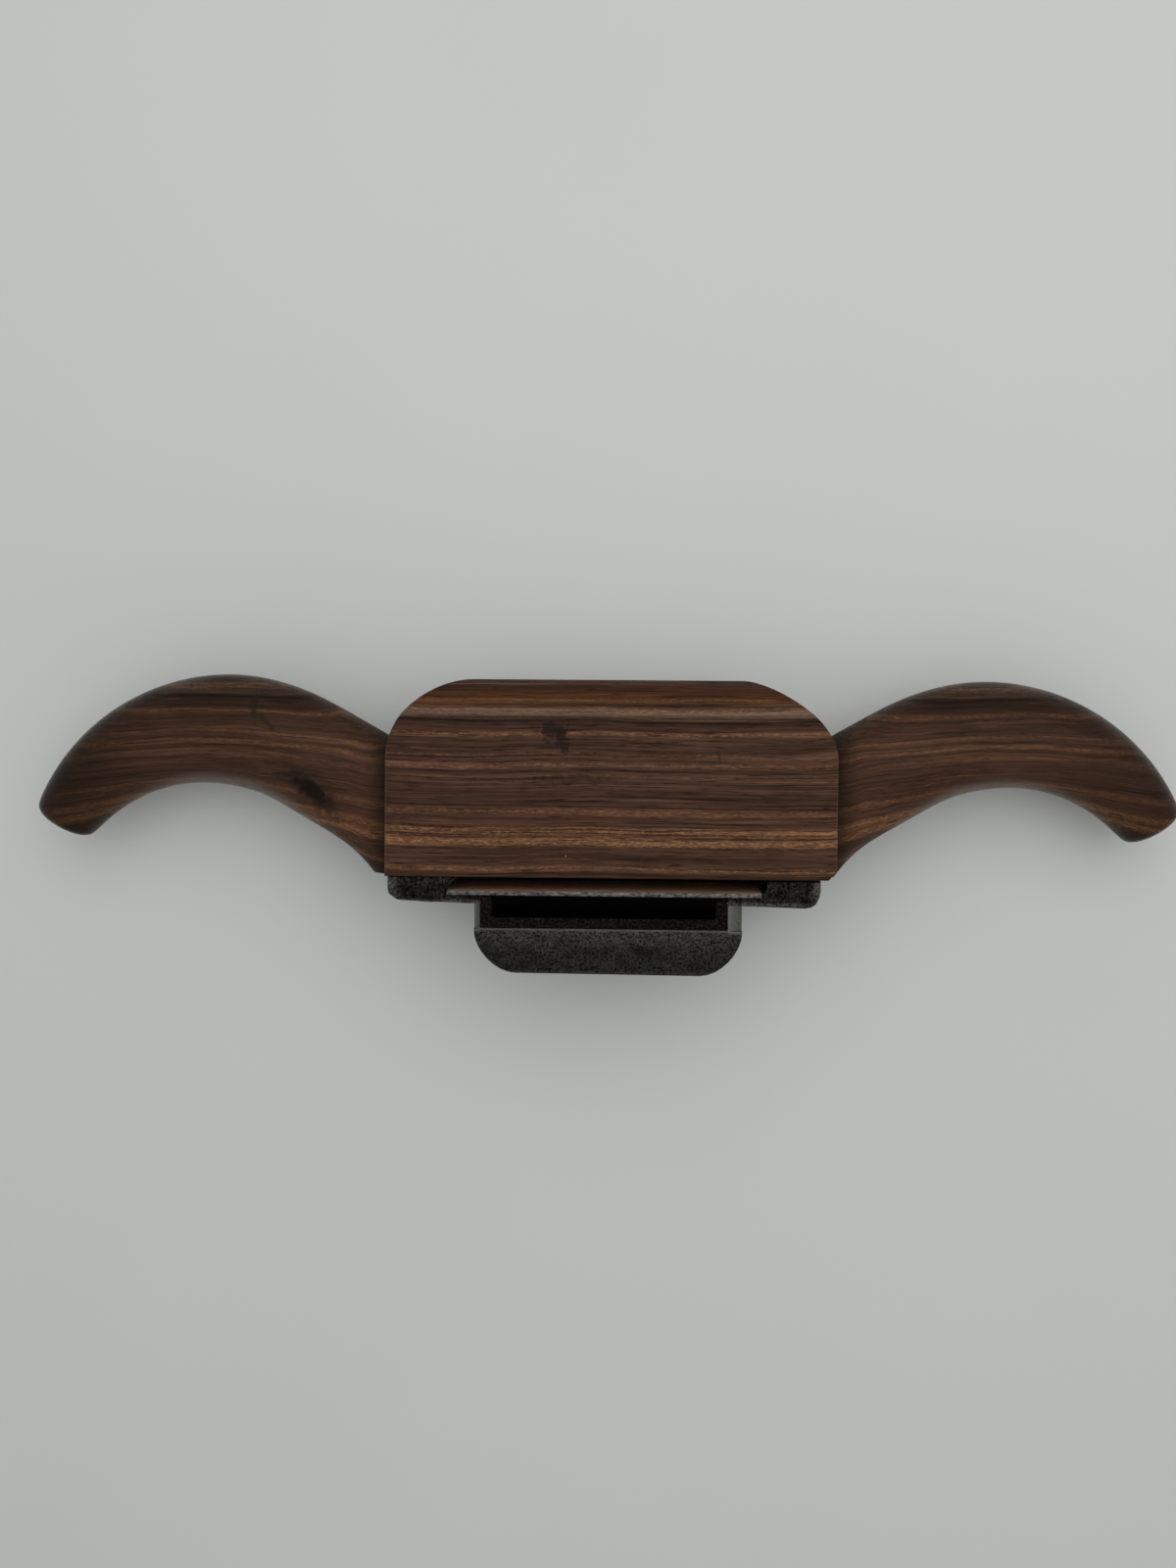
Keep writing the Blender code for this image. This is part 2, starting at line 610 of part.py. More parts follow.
def cut_slot(obj, radius, width, depth, top):
    """Screwdriver slot across a head whose outer face is at this height on its own Z."""
    loop = box_loop(-radius - OVERCUT, -width / 2, radius + OVERCUT, width / 2)
    slot = outline_solid(obj.name + "_slot", [loop], depth + OVERCUT)
    slot.parent = obj
    slot.location.z = top - depth / 2 + OVERCUT / 2
    combine(obj, slot, "DIFFERENCE")


def hole(obj, tool_profile, location, turn):
    """Turned cutter at a place, its own Z turned about X."""
    cutter = turned(obj.name + "_hole", tool_profile, SMALL_SIDES)
    cutter.location = location
    cutter.rotation_euler.x = turn
    combine(obj, cutter, "DIFFERENCE")


def plain_hole_profile(radius, top, bottom):
    return [(0.0, top), (radius, top), (radius, bottom), (0.0, bottom)]


def screw_places():
    """Name, location and turn of each wood screw; its head is at the location."""
    front = UPRIGHT_FACE
    tang_y = STOCK_FRONT + TANG_LENGTH - TANG_SCREW_INSET
    facing_toe = math.radians(90)
    facing_back = math.radians(180)
    return [("front_screw_left", (-UPRIGHT_X, front, -FRONT_SCREW_DEPTH), facing_toe),
            ("front_screw_right", (UPRIGHT_X, front, -FRONT_SCREW_DEPTH), facing_toe),
            ("tang_screw_left", (-TANG_SCREW_X, tang_y, -TANG_FACE), facing_back),
            ("tang_screw_middle", (0.0, tang_y, -TANG_FACE), facing_back),
            ("tang_screw_right", (TANG_SCREW_X, tang_y, -TANG_FACE), facing_back)]


def make_wood_screws(stock, casting, material):
    for name, location, turn in screw_places():
        for body in (stock, casting):
            hole(body, wood_screw_profile(GAP), location, turn)
        screw = turned(name, wood_screw_profile())
        screw.location = location
        screw.rotation_euler.x = turn
        cut_slot(screw, SCREW_HEAD_RADIUS, SCREW_SLOT_WIDTH, SCREW_SLOT_DEPTH, 0.0)
        finish(screw, material)


# Blade, cap and adjuster

def make_blade_line():
    """Empty whose Z runs along the leaning blade, up to the sole."""
    line = bpy.data.objects.new("blade_line", None)
    line.location.y = BLADE_BACK
    line.rotation_euler.x = BLADE_LEAN
    place(line, PARTS)
    return line


def on_line(obj, line, x, depth):
    """Put a piece on an adjuster's axis, at a depth measured along the blade."""
    obj.parent = line
    obj.location = (x, ADJUSTER_OFFSET, -depth)


def make_blade(line, material):
    half = BLADE_WIDTH / 2
    low = -BLADE_HEIGHT
    outline = [(-half, 0.0), (-half, low + BLADE_CORNER), (-half + BLADE_CORNER, low),
               (half - BLADE_CORNER, low), (half, low + BLADE_CORNER), (half, 0.0)]
    loops = [outline]
    slot_half = math.sqrt(NUT_RADIUS ** 2 - ADJUSTER_OFFSET ** 2) + SLOT_CLEARANCE
    slot_rise = NUT_THICKNESS / 2 + SLOT_CLEARANCE
    middle = -NUT_DEPTH - EDGE_PROUD
    for x in (-ADJUSTER_X, ADJUSTER_X):
        loops.append(box_loop(x - slot_half, middle - slot_rise, x + slot_half, middle + slot_rise))
    blade = outline_solid("blade", loops, BLADE_THICKNESS, "XZ")
    blade.data.transform(Matrix.Translation((0.0, -BLADE_THICKNESS / 2, 0.0)))
    blade.parent = line
    blade.location.z = EDGE_PROUD
    return finish(blade, material)


def nose_side():
    """Section of the cap: flat against the blade, hollow towards the window."""
    def on_blade(depth):
        return blade_y(BLADE_FRONT, depth) - GAP
    tip = Vector((on_blade(CAP_TIP_DEPTH), -CAP_TIP_DEPTH))
    nose = Vector((BLADE_FRONT - CAP_NOSE_REACH, -CAP_NOSE_DEPTH))
    out, down = CAP_HOLLOW_START
    fall = Vector((-out * CAP_NOSE_REACH, -down * (CAP_NOSE_DEPTH - CAP_TIP_DEPTH)))
    level = Vector((CAP_HOLLOW_END * CAP_NOSE_REACH, 0.0))
    hollow = interpolate_bezier(tip, tip + fall, nose + level, nose, CURVE_POINTS)
    loop = [tuple(p) for p in hollow]
    return loop + [(nose.x, -CAP_BACK_DEPTH), (on_blade(CAP_BACK_DEPTH), -CAP_BACK_DEPTH)]


def make_cap(material):
    back = UPRIGHT_FACE - GAP
    flange = box_loop(-CAP_HALF_LENGTH, back - CAP_FLANGE_THICKNESS, CAP_HALF_LENGTH, back)
    cap = plan_solid("blade_cap", [flange], -CAP_BACK_DEPTH, -CAP_TOP_DEPTH)
    soften(cap, SMALL_CHAMFER, 1, lambda point: True)
    nose = side_solid("nose", nose_side(), -CAP_NOSE_HALF_WIDTH, CAP_NOSE_HALF_WIDTH)
    combine(cap, nose, "UNION")
    bore = CLAMP_SHANK_RADIUS + GAP
    for x in (-UPRIGHT_X, UPRIGHT_X):
        profile = plain_hole_profile(bore, OVERCUT, -CAP_FLANGE_THICKNESS - OVERCUT)
        hole(cap, profile, (x, back - CAP_FLANGE_THICKNESS, -CLAMP_DEPTH), math.radians(90))
    return finish(cap, material)


def make_clamp_screws(stock, casting, steel, brass):
    """Thumbscrews through the cap into the uprights, each over a washer."""
    flange_face = UPRIGHT_FACE - GAP - CAP_FLANGE_THICKNESS
    head = flange_face - 2 * GAP - WASHER_THICKNESS
    bore = CLAMP_SHANK_RADIUS + GAP
    facing_toe = math.radians(90)
    for side, x in (("left", -UPRIGHT_X), ("right", UPRIGHT_X)):
        place_at = (x, head, -CLAMP_DEPTH)
        for body in (stock, casting):
            hole(body, plain_hole_profile(bore, 0.0, -CLAMP_SHANK_LENGTH - GAP), place_at, facing_toe)
        screw = turned("clamp_screw_" + side, clamp_screw_profile())
        screw.location = place_at
        screw.rotation_euler.x = facing_toe
        cut_slot(screw, CLAMP_HEAD_RADIUS, CLAMP_SLOT_WIDTH, CLAMP_SLOT_DEPTH, CLAMP_HEAD_THICKNESS)
        finish(screw, steel)
        ring = [(bore, WASHER_THICKNESS), (WASHER_RADIUS, WASHER_THICKNESS), (WASHER_RADIUS, 0.0),
                (bore, 0.0), (bore, WASHER_THICKNESS)]
        washer = turned("clamp_washer_" + side, ring)
        washer.location = (x, flange_face - GAP, -CLAMP_DEPTH)
        washer.rotation_euler.x = facing_toe
        finish(washer, brass)


def circle_loop(radius, sides):
    return [(radius * math.cos(2 * math.pi * k / sides), radius * math.sin(2 * math.pi * k / sides))
            for k in range(sides)]


def make_adjusters(line, stock, casting, steel, brass):
    """Studs in the tang, their locknuts, and the knurled nuts held in the blade's slots."""
    tang_level = TANG_FACE / math.cos(BLADE_LEAN)
    radius, edge, bore = STUD_RADIUS, SMALL_CHAMFER, STUD_RADIUS + GAP
    profile = [(0.0, STUD_LENGTH), (radius - edge, STUD_LENGTH), (radius, STUD_LENGTH - edge),
               (radius, edge), (radius - edge, 0.0), (0.0, 0.0)]
    for side, x in (("left", -ADJUSTER_X), ("right", ADJUSTER_X)):
        stud = turned("adjuster_stud_" + side, profile, SMALL_SIDES)
        on_line(stud, line, x, STUD_END_DEPTH)
        finish(stud, steel)
        for body in (stock, casting):
            drill = turned(body.name + "_stud_hole",
                           plain_hole_profile(bore, STUD_LENGTH + GAP, -OVERCUT), SMALL_SIDES)
            on_line(drill, line, x, STUD_END_DEPTH)
            combine(body, drill, "DIFFERENCE")
        seat_height = SPOTFACE_DEPTH + OVERCUT
        seat = rod("spotface", LOCKNUT_RADIUS + GAP, seat_height, ROUND_SIDES)
        on_line(seat, line, x, tang_level - SPOTFACE_DEPTH + seat_height / 2)
        combine(casting, seat, "DIFFERENCE")
        locknut = outline_solid("stud_locknut_" + side,
                                [circle_loop(LOCKNUT_RADIUS, HEX_SIDES), circle_loop(bore, SMALL_SIDES)],
                                LOCKNUT_THICKNESS)
        on_line(locknut, line, x, tang_level - SPOTFACE_DEPTH + GAP + LOCKNUT_THICKNESS / 2)
        finish(locknut, steel)
        nut = turned("adjuster_nut_" + side, nut_profile(), NUT_SIDES)
        on_line(nut, line, x, NUT_DEPTH)
        finish(nut, brass)


def main():
    wood = new_material("rosewood", (0.105, 0.048, 0.030), 0.50, 0.0)
    iron = new_material("cast_iron", (0.085, 0.080, 0.075), 0.60, 0.8)
    japan = new_material("black_japan", (0.015, 0.014, 0.014), 0.40, 0.0)
    blade_steel = new_material("blade_steel", (0.42, 0.41, 0.40), 0.28, 1.0)
    screw_steel = new_material("screw_steel", (0.30, 0.29, 0.28), 0.38, 1.0)
    brass = new_material("brass", (0.55, 0.38, 0.15), 0.35, 1.0)
    stock = make_stock()
    casting = make_casting()
    make_wood_screws(stock, casting, screw_steel)
    make_clamp_screws(stock, casting, screw_steel, brass)
    line = make_blade_line()
    make_adjusters(line, stock, casting, screw_steel, brass)
    make_blade(line, blade_steel)
    make_cap(japan)
    finish(stock, wood)
    finish(casting, iron)


for old in list(bpy.data.objects):
    bpy.data.objects.remove(old)
PARTS = new_collection("drawknife")
CUTTERS = new_collection("cutters")
main()
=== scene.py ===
"""Two-handled scraping shave, lying on its back on a pale table.

The tool is a hardwood stock with two drooping handles, an iron mouth casting with a toe
pad, an upright scraping blade, the cap that clamps it and two knurled nuts that set its
depth. Each sub-assembly is a class that models its pieces and dresses them.
"""
import logging
import math
from contextlib import contextmanager
from dataclasses import dataclass, field
from enum import Enum
from typing import Callable, Iterator, NamedTuple, Sequence

import bmesh
import bpy
from mathutils import Matrix, Vector
from mathutils.geometry import interpolate_bezier


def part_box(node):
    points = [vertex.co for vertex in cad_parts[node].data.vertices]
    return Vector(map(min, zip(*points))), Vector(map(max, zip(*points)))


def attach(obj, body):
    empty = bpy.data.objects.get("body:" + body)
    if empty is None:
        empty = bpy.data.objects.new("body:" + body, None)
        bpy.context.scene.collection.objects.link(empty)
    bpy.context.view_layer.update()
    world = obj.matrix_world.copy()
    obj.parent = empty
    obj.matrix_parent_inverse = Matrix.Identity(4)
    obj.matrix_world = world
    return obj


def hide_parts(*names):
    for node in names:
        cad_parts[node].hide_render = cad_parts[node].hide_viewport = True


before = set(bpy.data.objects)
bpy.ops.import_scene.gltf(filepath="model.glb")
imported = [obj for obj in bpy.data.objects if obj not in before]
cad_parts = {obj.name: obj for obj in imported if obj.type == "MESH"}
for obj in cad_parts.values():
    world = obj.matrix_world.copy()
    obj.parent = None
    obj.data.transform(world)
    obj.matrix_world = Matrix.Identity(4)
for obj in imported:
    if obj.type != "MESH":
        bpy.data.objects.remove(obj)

LOG = logging.getLogger("shave")
Piece = bpy.types.Object
Socket = bpy.types.NodeSocket
Pair = tuple[float, float]
Corner = tuple[float, float, float]  # or three sizes, or a linear hue
Tint = tuple[int, int, int]
Tones = tuple[Tint, Tint]  # a pattern's two ends
Test = Callable[[Vector, Vector], bool]
MM = 0.001
SAME = 0.00001  # corners closer than this are one corner
FACING = 0.99  # a direction this near to an axis is along it
KNURL_ROOT = 0.955  # radius between a knurl's teeth, as a share of the radius over them
KNURL_EDGE = 0.0003
QUARTER = math.radians(90)
ORIGIN: Corner = (0.0, 0.0, 0.0)
SIDES = (("left", -1), ("right", 1))


# --- Modelling by hand ------------------------------------------------------------------

class Part(Enum):
    """What is picked in edit mode."""

    CORNERS = "VERT"
    EDGES = "EDGE"
    FACES = "FACE"


class Join(Enum):
    """How one body acts on another."""

    ADD = "UNION"
    CUT = "DIFFERENCE"
    COMMON = "INTERSECT"


def rest() -> None:
    """Leave edit mode and let go of everything."""
    if bpy.context.object is not None and bpy.context.object.mode != "OBJECT":
        bpy.ops.object.mode_set(mode="OBJECT")
    bpy.ops.object.select_all(action="DESELECT")


def take(piece: Piece) -> None:
    """Pick one object alone and make it the active one."""
    rest()
    piece.select_set(True)
    bpy.context.view_layer.objects.active = piece


@contextmanager
def editing(piece: Piece) -> Iterator[None]:
    """Open a piece in edit mode and close it again."""
    take(piece)
    bpy.ops.object.mode_set(mode="EDIT")
    yield
    bpy.ops.object.mode_set(mode="OBJECT")


def choose(kind: Part, test: Test) -> None:
    """Select parts of the open piece by place and direction.

    Args:
        kind: what to select.
        test: takes a part's middle and its normal (an edge's direction) and says yes or no.
    """
    bpy.ops.mesh.select_mode(type=kind.value)
    bpy.ops.mesh.select_all(action="DESELECT")
    mesh = bpy.context.edit_object.data
    work = bmesh.from_edit_mesh(mesh)
    work.normal_update()
    if kind is Part.FACES:
        for face in work.faces:
            face.select_set(test(face.calc_center_median(), face.normal))
    elif kind is Part.EDGES:
        for edge in work.edges:
            near, far = (corner.co for corner in edge.verts)
            if test((near + far) / 2, (far - near).normalized()):
                edge.select_set(True)
    else:
        for corner in work.verts:
            if test(corner.co, corner.normal):
                corner.select_set(True)
    bmesh.update_edit_mesh(mesh)


def choose_all() -> None:
    """Select all of the open piece."""
    bpy.ops.mesh.select_all(action="SELECT")


def pull(way: Corner) -> None:
    """Extrude what is selected."""
    bpy.ops.mesh.extrude_region_move(TRANSFORM_OT_translate={"value": way})


def stretch(value: Corner, centre: Corner = ORIGIN) -> None:
    """Stretch what is selected about a centre."""
    bpy.ops.transform.resize(value=value, center_override=centre)


def face_out() -> None:
    """Turn all faces of the open piece outwards."""
    choose_all()
    bpy.ops.mesh.normals_make_consistent(inside=False)


def settle(piece: Piece, place: Corner = ORIGIN, turn: Corner = ORIGIN) -> None:
    """Move and turn a piece's mesh, and leave its object at the origin, unturned.

    Args:
        piece: the piece, with its object at the origin.
        place: where its origin goes.
        turn: its rotation in radians about X, Y and Z.
    """
    take(piece)
    piece.location = place
    piece.rotation_euler = turn
    bpy.ops.object.transform_apply(location=True, rotation=True, scale=True)


def named(name: str) -> Piece:
    """Name the object that was just added and settle its place into its mesh."""
    piece = bpy.context.object
    piece.name = name
    piece.data.name = name
    settle(piece, piece.location, piece.rotation_euler)
    return piece


def block(name: str, low: Corner, high: Corner) -> Piece:
    """Square block between its lowest and its highest corner."""
    rest()
    middle = [(a + b) / 2 for a, b in zip(low, high)]
    bpy.ops.mesh.primitive_cube_add(size=1.0, location=middle)
    bpy.context.object.scale = [b - a for a, b in zip(low, high)]
    return named(name)


def rod(name: str, radius: float, bottom: float, top: float, sides: int) -> Piece:
    """Rod along Z between two heights."""
    rest()
    bpy.ops.mesh.primitive_cylinder_add(vertices=sides, radius=radius, depth=top - bottom,
                                        location=(0.0, 0.0, (top + bottom) / 2))
    return named(name)


def trace(name: str, corners: Sequence[Corner], away: Corner | None = None) -> Piece:
    """Draw a flat outline corner by corner, fill it and pull it into a body.

    Args:
        name: name of the piece.
        corners: the outline, in order.
        away: how far and which way the filled outline is extruded, if it is.

    Returns:
        The drawn piece.
    """
    rest()
    bpy.ops.mesh.primitive_plane_add(size=MM, location=corners[0])
    piece = named(name)
    with editing(piece):
        bpy.ops.mesh.select_mode(type=Part.CORNERS.value)
        choose_all()
        bpy.ops.mesh.merge(type="CENTER")
        for before, after in zip(corners, corners[1:]):
            step = Vector(after) - Vector(before)
            bpy.ops.mesh.extrude_vertices_move(TRANSFORM_OT_translate={"value": step})
        if away is not None:
            choose_all()
            bpy.ops.mesh.edge_face_add()
            pull(away)
            face_out()
    return piece


def modify(piece: Piece, kind: str, **settings: object) -> None:
    """Put a modifier on a piece, set it and apply it."""
    step = piece.modifiers.new(kind, kind)
    for key, value in settings.items():
        setattr(step, key, value)
    take(piece)
    bpy.ops.object.modifier_apply(modifier=step.name)


def join(body: Piece, tool: Piece, how: Join) -> None:
    """Apply one body to another and clear it away."""
    modify(body, "BOOLEAN", operation=how.value, solver="EXACT", object=tool)
    bpy.data.objects.remove(tool)


def round_edges(piece: Piece, width: float, segments: int, angle: float) -> None:
    """Round every edge sharper than an angle in degrees."""
    modify(piece, "BEVEL", width=width, segments=segments, limit_method="ANGLE",
           angle_limit=math.radians(angle))


def smooth(piece: Piece, angle: float) -> None:
    """Shade a piece smooth, with edges sharper than an angle in degrees kept sharp."""
    take(piece)
    bpy.ops.object.shade_smooth_by_angle(angle=math.radians(angle))


def twin(piece: Piece, name: str) -> Piece:
    """Copy of a piece with its own mesh."""
    copy = bpy.data.objects.new(name, piece.data.copy())
    copy.data.name = name
    bpy.context.scene.collection.objects.link(copy)
    return copy


def placed(pattern: Piece, name: str, place: Corner, turn: float, spin: float = 0.0) -> Piece:
    """Copy a pattern to a place and shade it smooth.

    Args:
        pattern: what to copy.
        name: the copy's name.
        place: where the pattern's origin goes.
        turn: its turn about X in radians.
        spin: its turn about its own axis before that, in radians.

    Returns:
        The copy.
    """
    piece = twin(pattern, name)
    settle(piece, turn=(0.0, 0.0, spin))
    settle(piece, place, (turn, 0.0, 0.0))
    smooth(piece, 30.0)
    return piece


def merged_copy(node: str, name: str) -> Piece:
    """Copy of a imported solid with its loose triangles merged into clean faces."""
    copy = twin(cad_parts[node], name)
    copy.data.materials.clear()
    with editing(copy):
        choose_all()
        bpy.ops.mesh.remove_doubles(threshold=SAME)
        bpy.ops.mesh.dissolve_limited(angle_limit=math.radians(0.5))
    return copy


def knurled(name: str, radius: float, bottom: float, top: float, teeth: int) -> Piece:
    """Knurled disc about Z with chamfered rims.

    Args:
        name: its name.
        radius: radius over the teeth.
        bottom: its lower face's height.
        top: its upper face's height.
        teeth: number of teeth.

    Returns:
        The disc.
    """
    disc = rod(name, radius, bottom, top, 2 * teeth)
    turn = math.pi / teeth
    with editing(disc):
        choose(Part.CORNERS, lambda at, way: round(math.atan2(at.x, at.y) / turn) % 2 == 1)
        stretch((KNURL_ROOT, KNURL_ROOT, 1.0))
        choose(Part.FACES, lambda at, way: abs(way.z) > FACING)
        bpy.ops.mesh.inset(thickness=KNURL_EDGE, use_individual=True)
        choose(Part.CORNERS, lambda at, way: at.xy.length > (KNURL_ROOT - 0.002) * radius)
        stretch((1.0, 1.0, 0.84), (0.0, 0.0, (top + bottom) / 2))
    return disc


def ring(name: str, radius: float, bore: float, thickness: float, edge: float, sides: int) -> Piece:
    """Flat ring about Z with broken edges, or a nut if it has six sides."""
    disc = rod(name, radius, -thickness / 2, thickness / 2, sides)
    join(disc, rod("bore", bore, -thickness, thickness, 48), Join.CUT)
    round_edges(disc, edge, 1, 40.0)
    return disc


def slotted(screw: Piece, top: float) -> None:
    """Cut a driver's slot along X into a screw's head."""
    width, depth, far = 0.0010, 0.0010, 0.01
    join(screw, block("slot", (-far, -width / 2, top - depth), (far, width / 2, far)), Join.CUT)


def hand_over(piece: Piece, body: str, node: str, material: bpy.types.Material) -> None:
    """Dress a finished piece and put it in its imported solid's stead.

    Args:
        piece: the finished piece.
        body: the body that it moves with.
        node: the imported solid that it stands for.
        material: its finish.
    """
    piece.data.materials.clear()
    piece.data.materials.append(material)
    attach(piece, body)
    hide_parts(node)
    LOG.info("%s: %d faces, rides on %s", piece.name, len(piece.data.polygons), body)


# --- Finishes -----------------------------------------------------------------------------

class Noise(NamedTuple):
    """Cloudy pattern: its changes a millimetre, fineness, harshness and shift."""

    scale: float | Corner
    detail: float
    roughness: float
    shift: Corner = ORIGIN


class Mark(NamedTuple):
    """Ragged mark in millimetres; raggedness and softness are shares of its size."""

    centre: Corner
    size: Corner
    turn: float
    ragged: float
    fine: float
    soft: float
    depth: float
    tint: Tint = (33, 27, 23)


def linear(tint: Tint) -> tuple[float, ...]:
    """Screen colour from 0 to 255 as a linear colour."""
    shares = (level / 255 for level in tint)
    return tuple(s / 12.92 if s <= 0.04045 else ((s + 0.055) / 1.055) ** 2.4 for s in shares)


class Board:
    """Wires one material's nodes, with places on the piece in millimetres."""

    def __init__(self, name: str) -> None:
        """Start a material."""
        self.material = bpy.data.materials.new(name)
        self.material.use_nodes = True
        self.tree = self.material.node_tree
        self.shader = self.tree.nodes["Principled BSDF"]
        source = self.node("ShaderNodeTexCoord").outputs["Object"]
        self.place = self.moved(source, scale=(1 / MM, 1 / MM, 1 / MM))

    def node(self, kind: str, **settings: object) -> bpy.types.Node:
        """Add a node and set its properties."""
        node = self.tree.nodes.new(kind)
        for key, value in settings.items():
            setattr(node, key, value)
        return node

    def feed(self, socket: Socket, value: object) -> None:
        """Link a socket to another, or give it a plain value."""
        if isinstance(value, bpy.types.NodeSocket):
            self.tree.links.new(value, socket)
        else:
            socket.default_value = value

    def wear(self, **values: object) -> None:
        """Feed the shader's sockets; spaces in their names are written as underscores."""
        for key, value in values.items():
            self.feed(self.shader.inputs[key.replace("_", " ")], value)

    def moved(self, place: Socket, scale: Corner, shift: Corner = ORIGIN, turn: Corner = ORIGIN,
              kind: str = "POINT") -> Socket:
        """Stretch, shift and turn a place."""
        node = self.node("ShaderNodeMapping", vector_type=kind)
        for key, value in (("Vector", place), ("Scale", scale), ("Location", shift), ("Rotation", turn)):
            self.feed(node.inputs[key], value)
        return node.outputs["Vector"]

    def sum(self, operation: str, *values: object) -> Socket:
        """Do a sum on one or two values."""
        node = self.node("ShaderNodeMath", operation=operation)
        for socket, value in zip(node.inputs, values):
            self.feed(socket, value)
        return node.outputs[0]

    def times(self, first: object, *others: object) -> Socket:
        """Product of levels or masks."""
        for other in others:
            first = self.sum("MULTIPLY", first, other)
        return first

    def length(self, place: Socket) -> Socket:
        """Distance of a place from the origin."""
        node = self.node("ShaderNodeVectorMath", operation="LENGTH")
        self.feed(node.inputs[0], place)
        return node.outputs["Value"]

    def parts(self, place: Socket) -> tuple[Socket, ...]:
        """X, Y and Z of a place."""
        node = self.node("ShaderNodeSeparateXYZ")
        self.feed(node.inputs[0], place)
        return tuple(node.outputs)

    def whole(self, *values: object) -> Socket:
        """Place from X, Y and Z."""
        node = self.node("ShaderNodeCombineXYZ")
        for socket, value in zip(node.inputs, values):
            self.feed(socket, value)
        return node.outputs[0]

    def noise(self, kind: Noise, place: Socket | None = None) -> Socket:
        """Cloudy pattern from 0 to 1, mostly between 0.3 and 0.7, over the piece or another place."""
        place, scale = self.place if place is None else place, kind.scale
        if isinstance(scale, tuple):
            place, scale = self.moved(place, scale, kind.shift), 1.0
        node = self.node("ShaderNodeTexNoise")
        for key, value in (("Vector", place), ("Scale", scale), ("Detail", kind.detail),
                           ("Roughness", kind.roughness)):
            self.feed(node.inputs[key], value)
        return node.outputs["Fac"]

    def between(self, share: Socket, first: object, second: object) -> Socket:
        """Level that goes from one to another as a share rises."""
        node = self.node("ShaderNodeMix", data_type="FLOAT")
        for index, value in ((0, share), (2, first), (3, second)):
            self.feed(node.inputs[index], value)
        return node.outputs[0]

    def reach(self, value: Socket, low: float, high: float, to_low: float = 0.0,
              to_high: float = 1.0, soft: bool = False) -> Socket:
        """Carry a value from one range to another, held at its ends.

        Args:
            value: the value.
            low: where its range begins; it may be the higher end.
            high: where its range ends.
            to_low: the level at the beginning.
            to_high: the level at the end.
            soft: whether it eases in and out.

        Returns:
            The level.
        """
        node = self.node("ShaderNodeMapRange", interpolation_type="SMOOTHSTEP" if soft else "LINEAR")
        for key, level in (("Value", value), ("From Min", low), ("From Max", high),
                           ("To Min", to_low), ("To Max", to_high)):
            self.feed(node.inputs[key], level)
        return node.outputs["Result"]

    def sway(self, value: Socket, low: float, high: float, calm: float = 0.3) -> Socket:
        """Spread a noise over two levels; the wider the calm ends, the harsher it is."""
        return self.reach(value, calm, 1 - calm, low, high)

    def ramp(self, value: Socket, stops: Sequence[tuple[float, Sequence[float]]]) -> Socket:
        """Colour ramp over stops of place and linear colour."""
        node = self.node("ShaderNodeValToRGB")
        points = node.color_ramp.elements
        while len(points) < len(stops):
            points.new(0.5)
        for point, (place, colour) in zip(points, stops):
            point.position = place
            point.color = (*colour, 1.0)
        self.feed(node.inputs["Fac"], value)
        return node.outputs["Color"]

    def mix(self, share: Socket, first: object, second: object, mode: str = "MIX") -> Socket:
        """Mix two colours; a plain colour has three linear values."""
        node = self.node("ShaderNodeMix", data_type="RGBA", blend_type=mode)
        self.feed(node.inputs["Factor"], share)
        for key, value in (("A", first), ("B", second)):
            socket = next(s for s in node.inputs if s.name == key and s.type == "RGBA")
            self.feed(socket, value if isinstance(value, bpy.types.NodeSocket) else (*value, 1.0))
        return next(s for s in node.outputs if s.type == "RGBA")

    def tints(self, share: Socket, first: Tint, second: Tint) -> Socket:
        """Mix two screen colours."""
        return self.mix(share, linear(first), linear(second))

    def coat(self, colour: Socket, mask: Socket, share: float, over: object) -> Socket:
        """Lay another colour over a part by a share."""
        return self.mix(self.times(mask, share), colour, over)

    def shade(self, colour: Socket, level: object) -> Socket:
        """Multiply a colour by a grey level."""
        node = self.node("ShaderNodeVectorMath", operation="SCALE")
        self.feed(node.inputs[0], colour)
        self.feed(node.inputs["Scale"], level)
        return node.outputs["Vector"]

    def dim(self, colour: Socket, mask: Socket, level: float) -> Socket:
        """Multiply a colour by a level where a mask is 1."""
        return self.shade(colour, self.reach(mask, 0.0, 1.0, 1.0, level))

    def blot(self, mark: Mark) -> Socket:
        """Mask of a ragged mark, 1 inside and 0 outside."""
        near = self.moved(self.place, mark.size, mark.centre, (0.0, 0.0, math.radians(mark.turn)), "TEXTURE")
        stray = self.sway(self.noise(Noise(mark.fine, 3.0, 0.6)), -mark.ragged, mark.ragged)
        edge = self.sum("ADD", self.length(near), stray)
        return self.reach(edge, 1.0 - mark.soft, 1.0 + mark.soft, 1.0, 0.0, True)

    def bump(self, height: object, depth: float, under: Socket | None = None) -> Socket:
        """Relief of a depth in millimetres over an earlier one."""
        node = self.node("ShaderNodeBump")
        node.inputs["Distance"].default_value = depth * MM
        node.inputs["Strength"].default_value = 1.0
        self.feed(node.inputs["Height"], height)
        if under is not None:
            self.feed(node.inputs["Normal"], under)
        return node.outputs["Normal"]


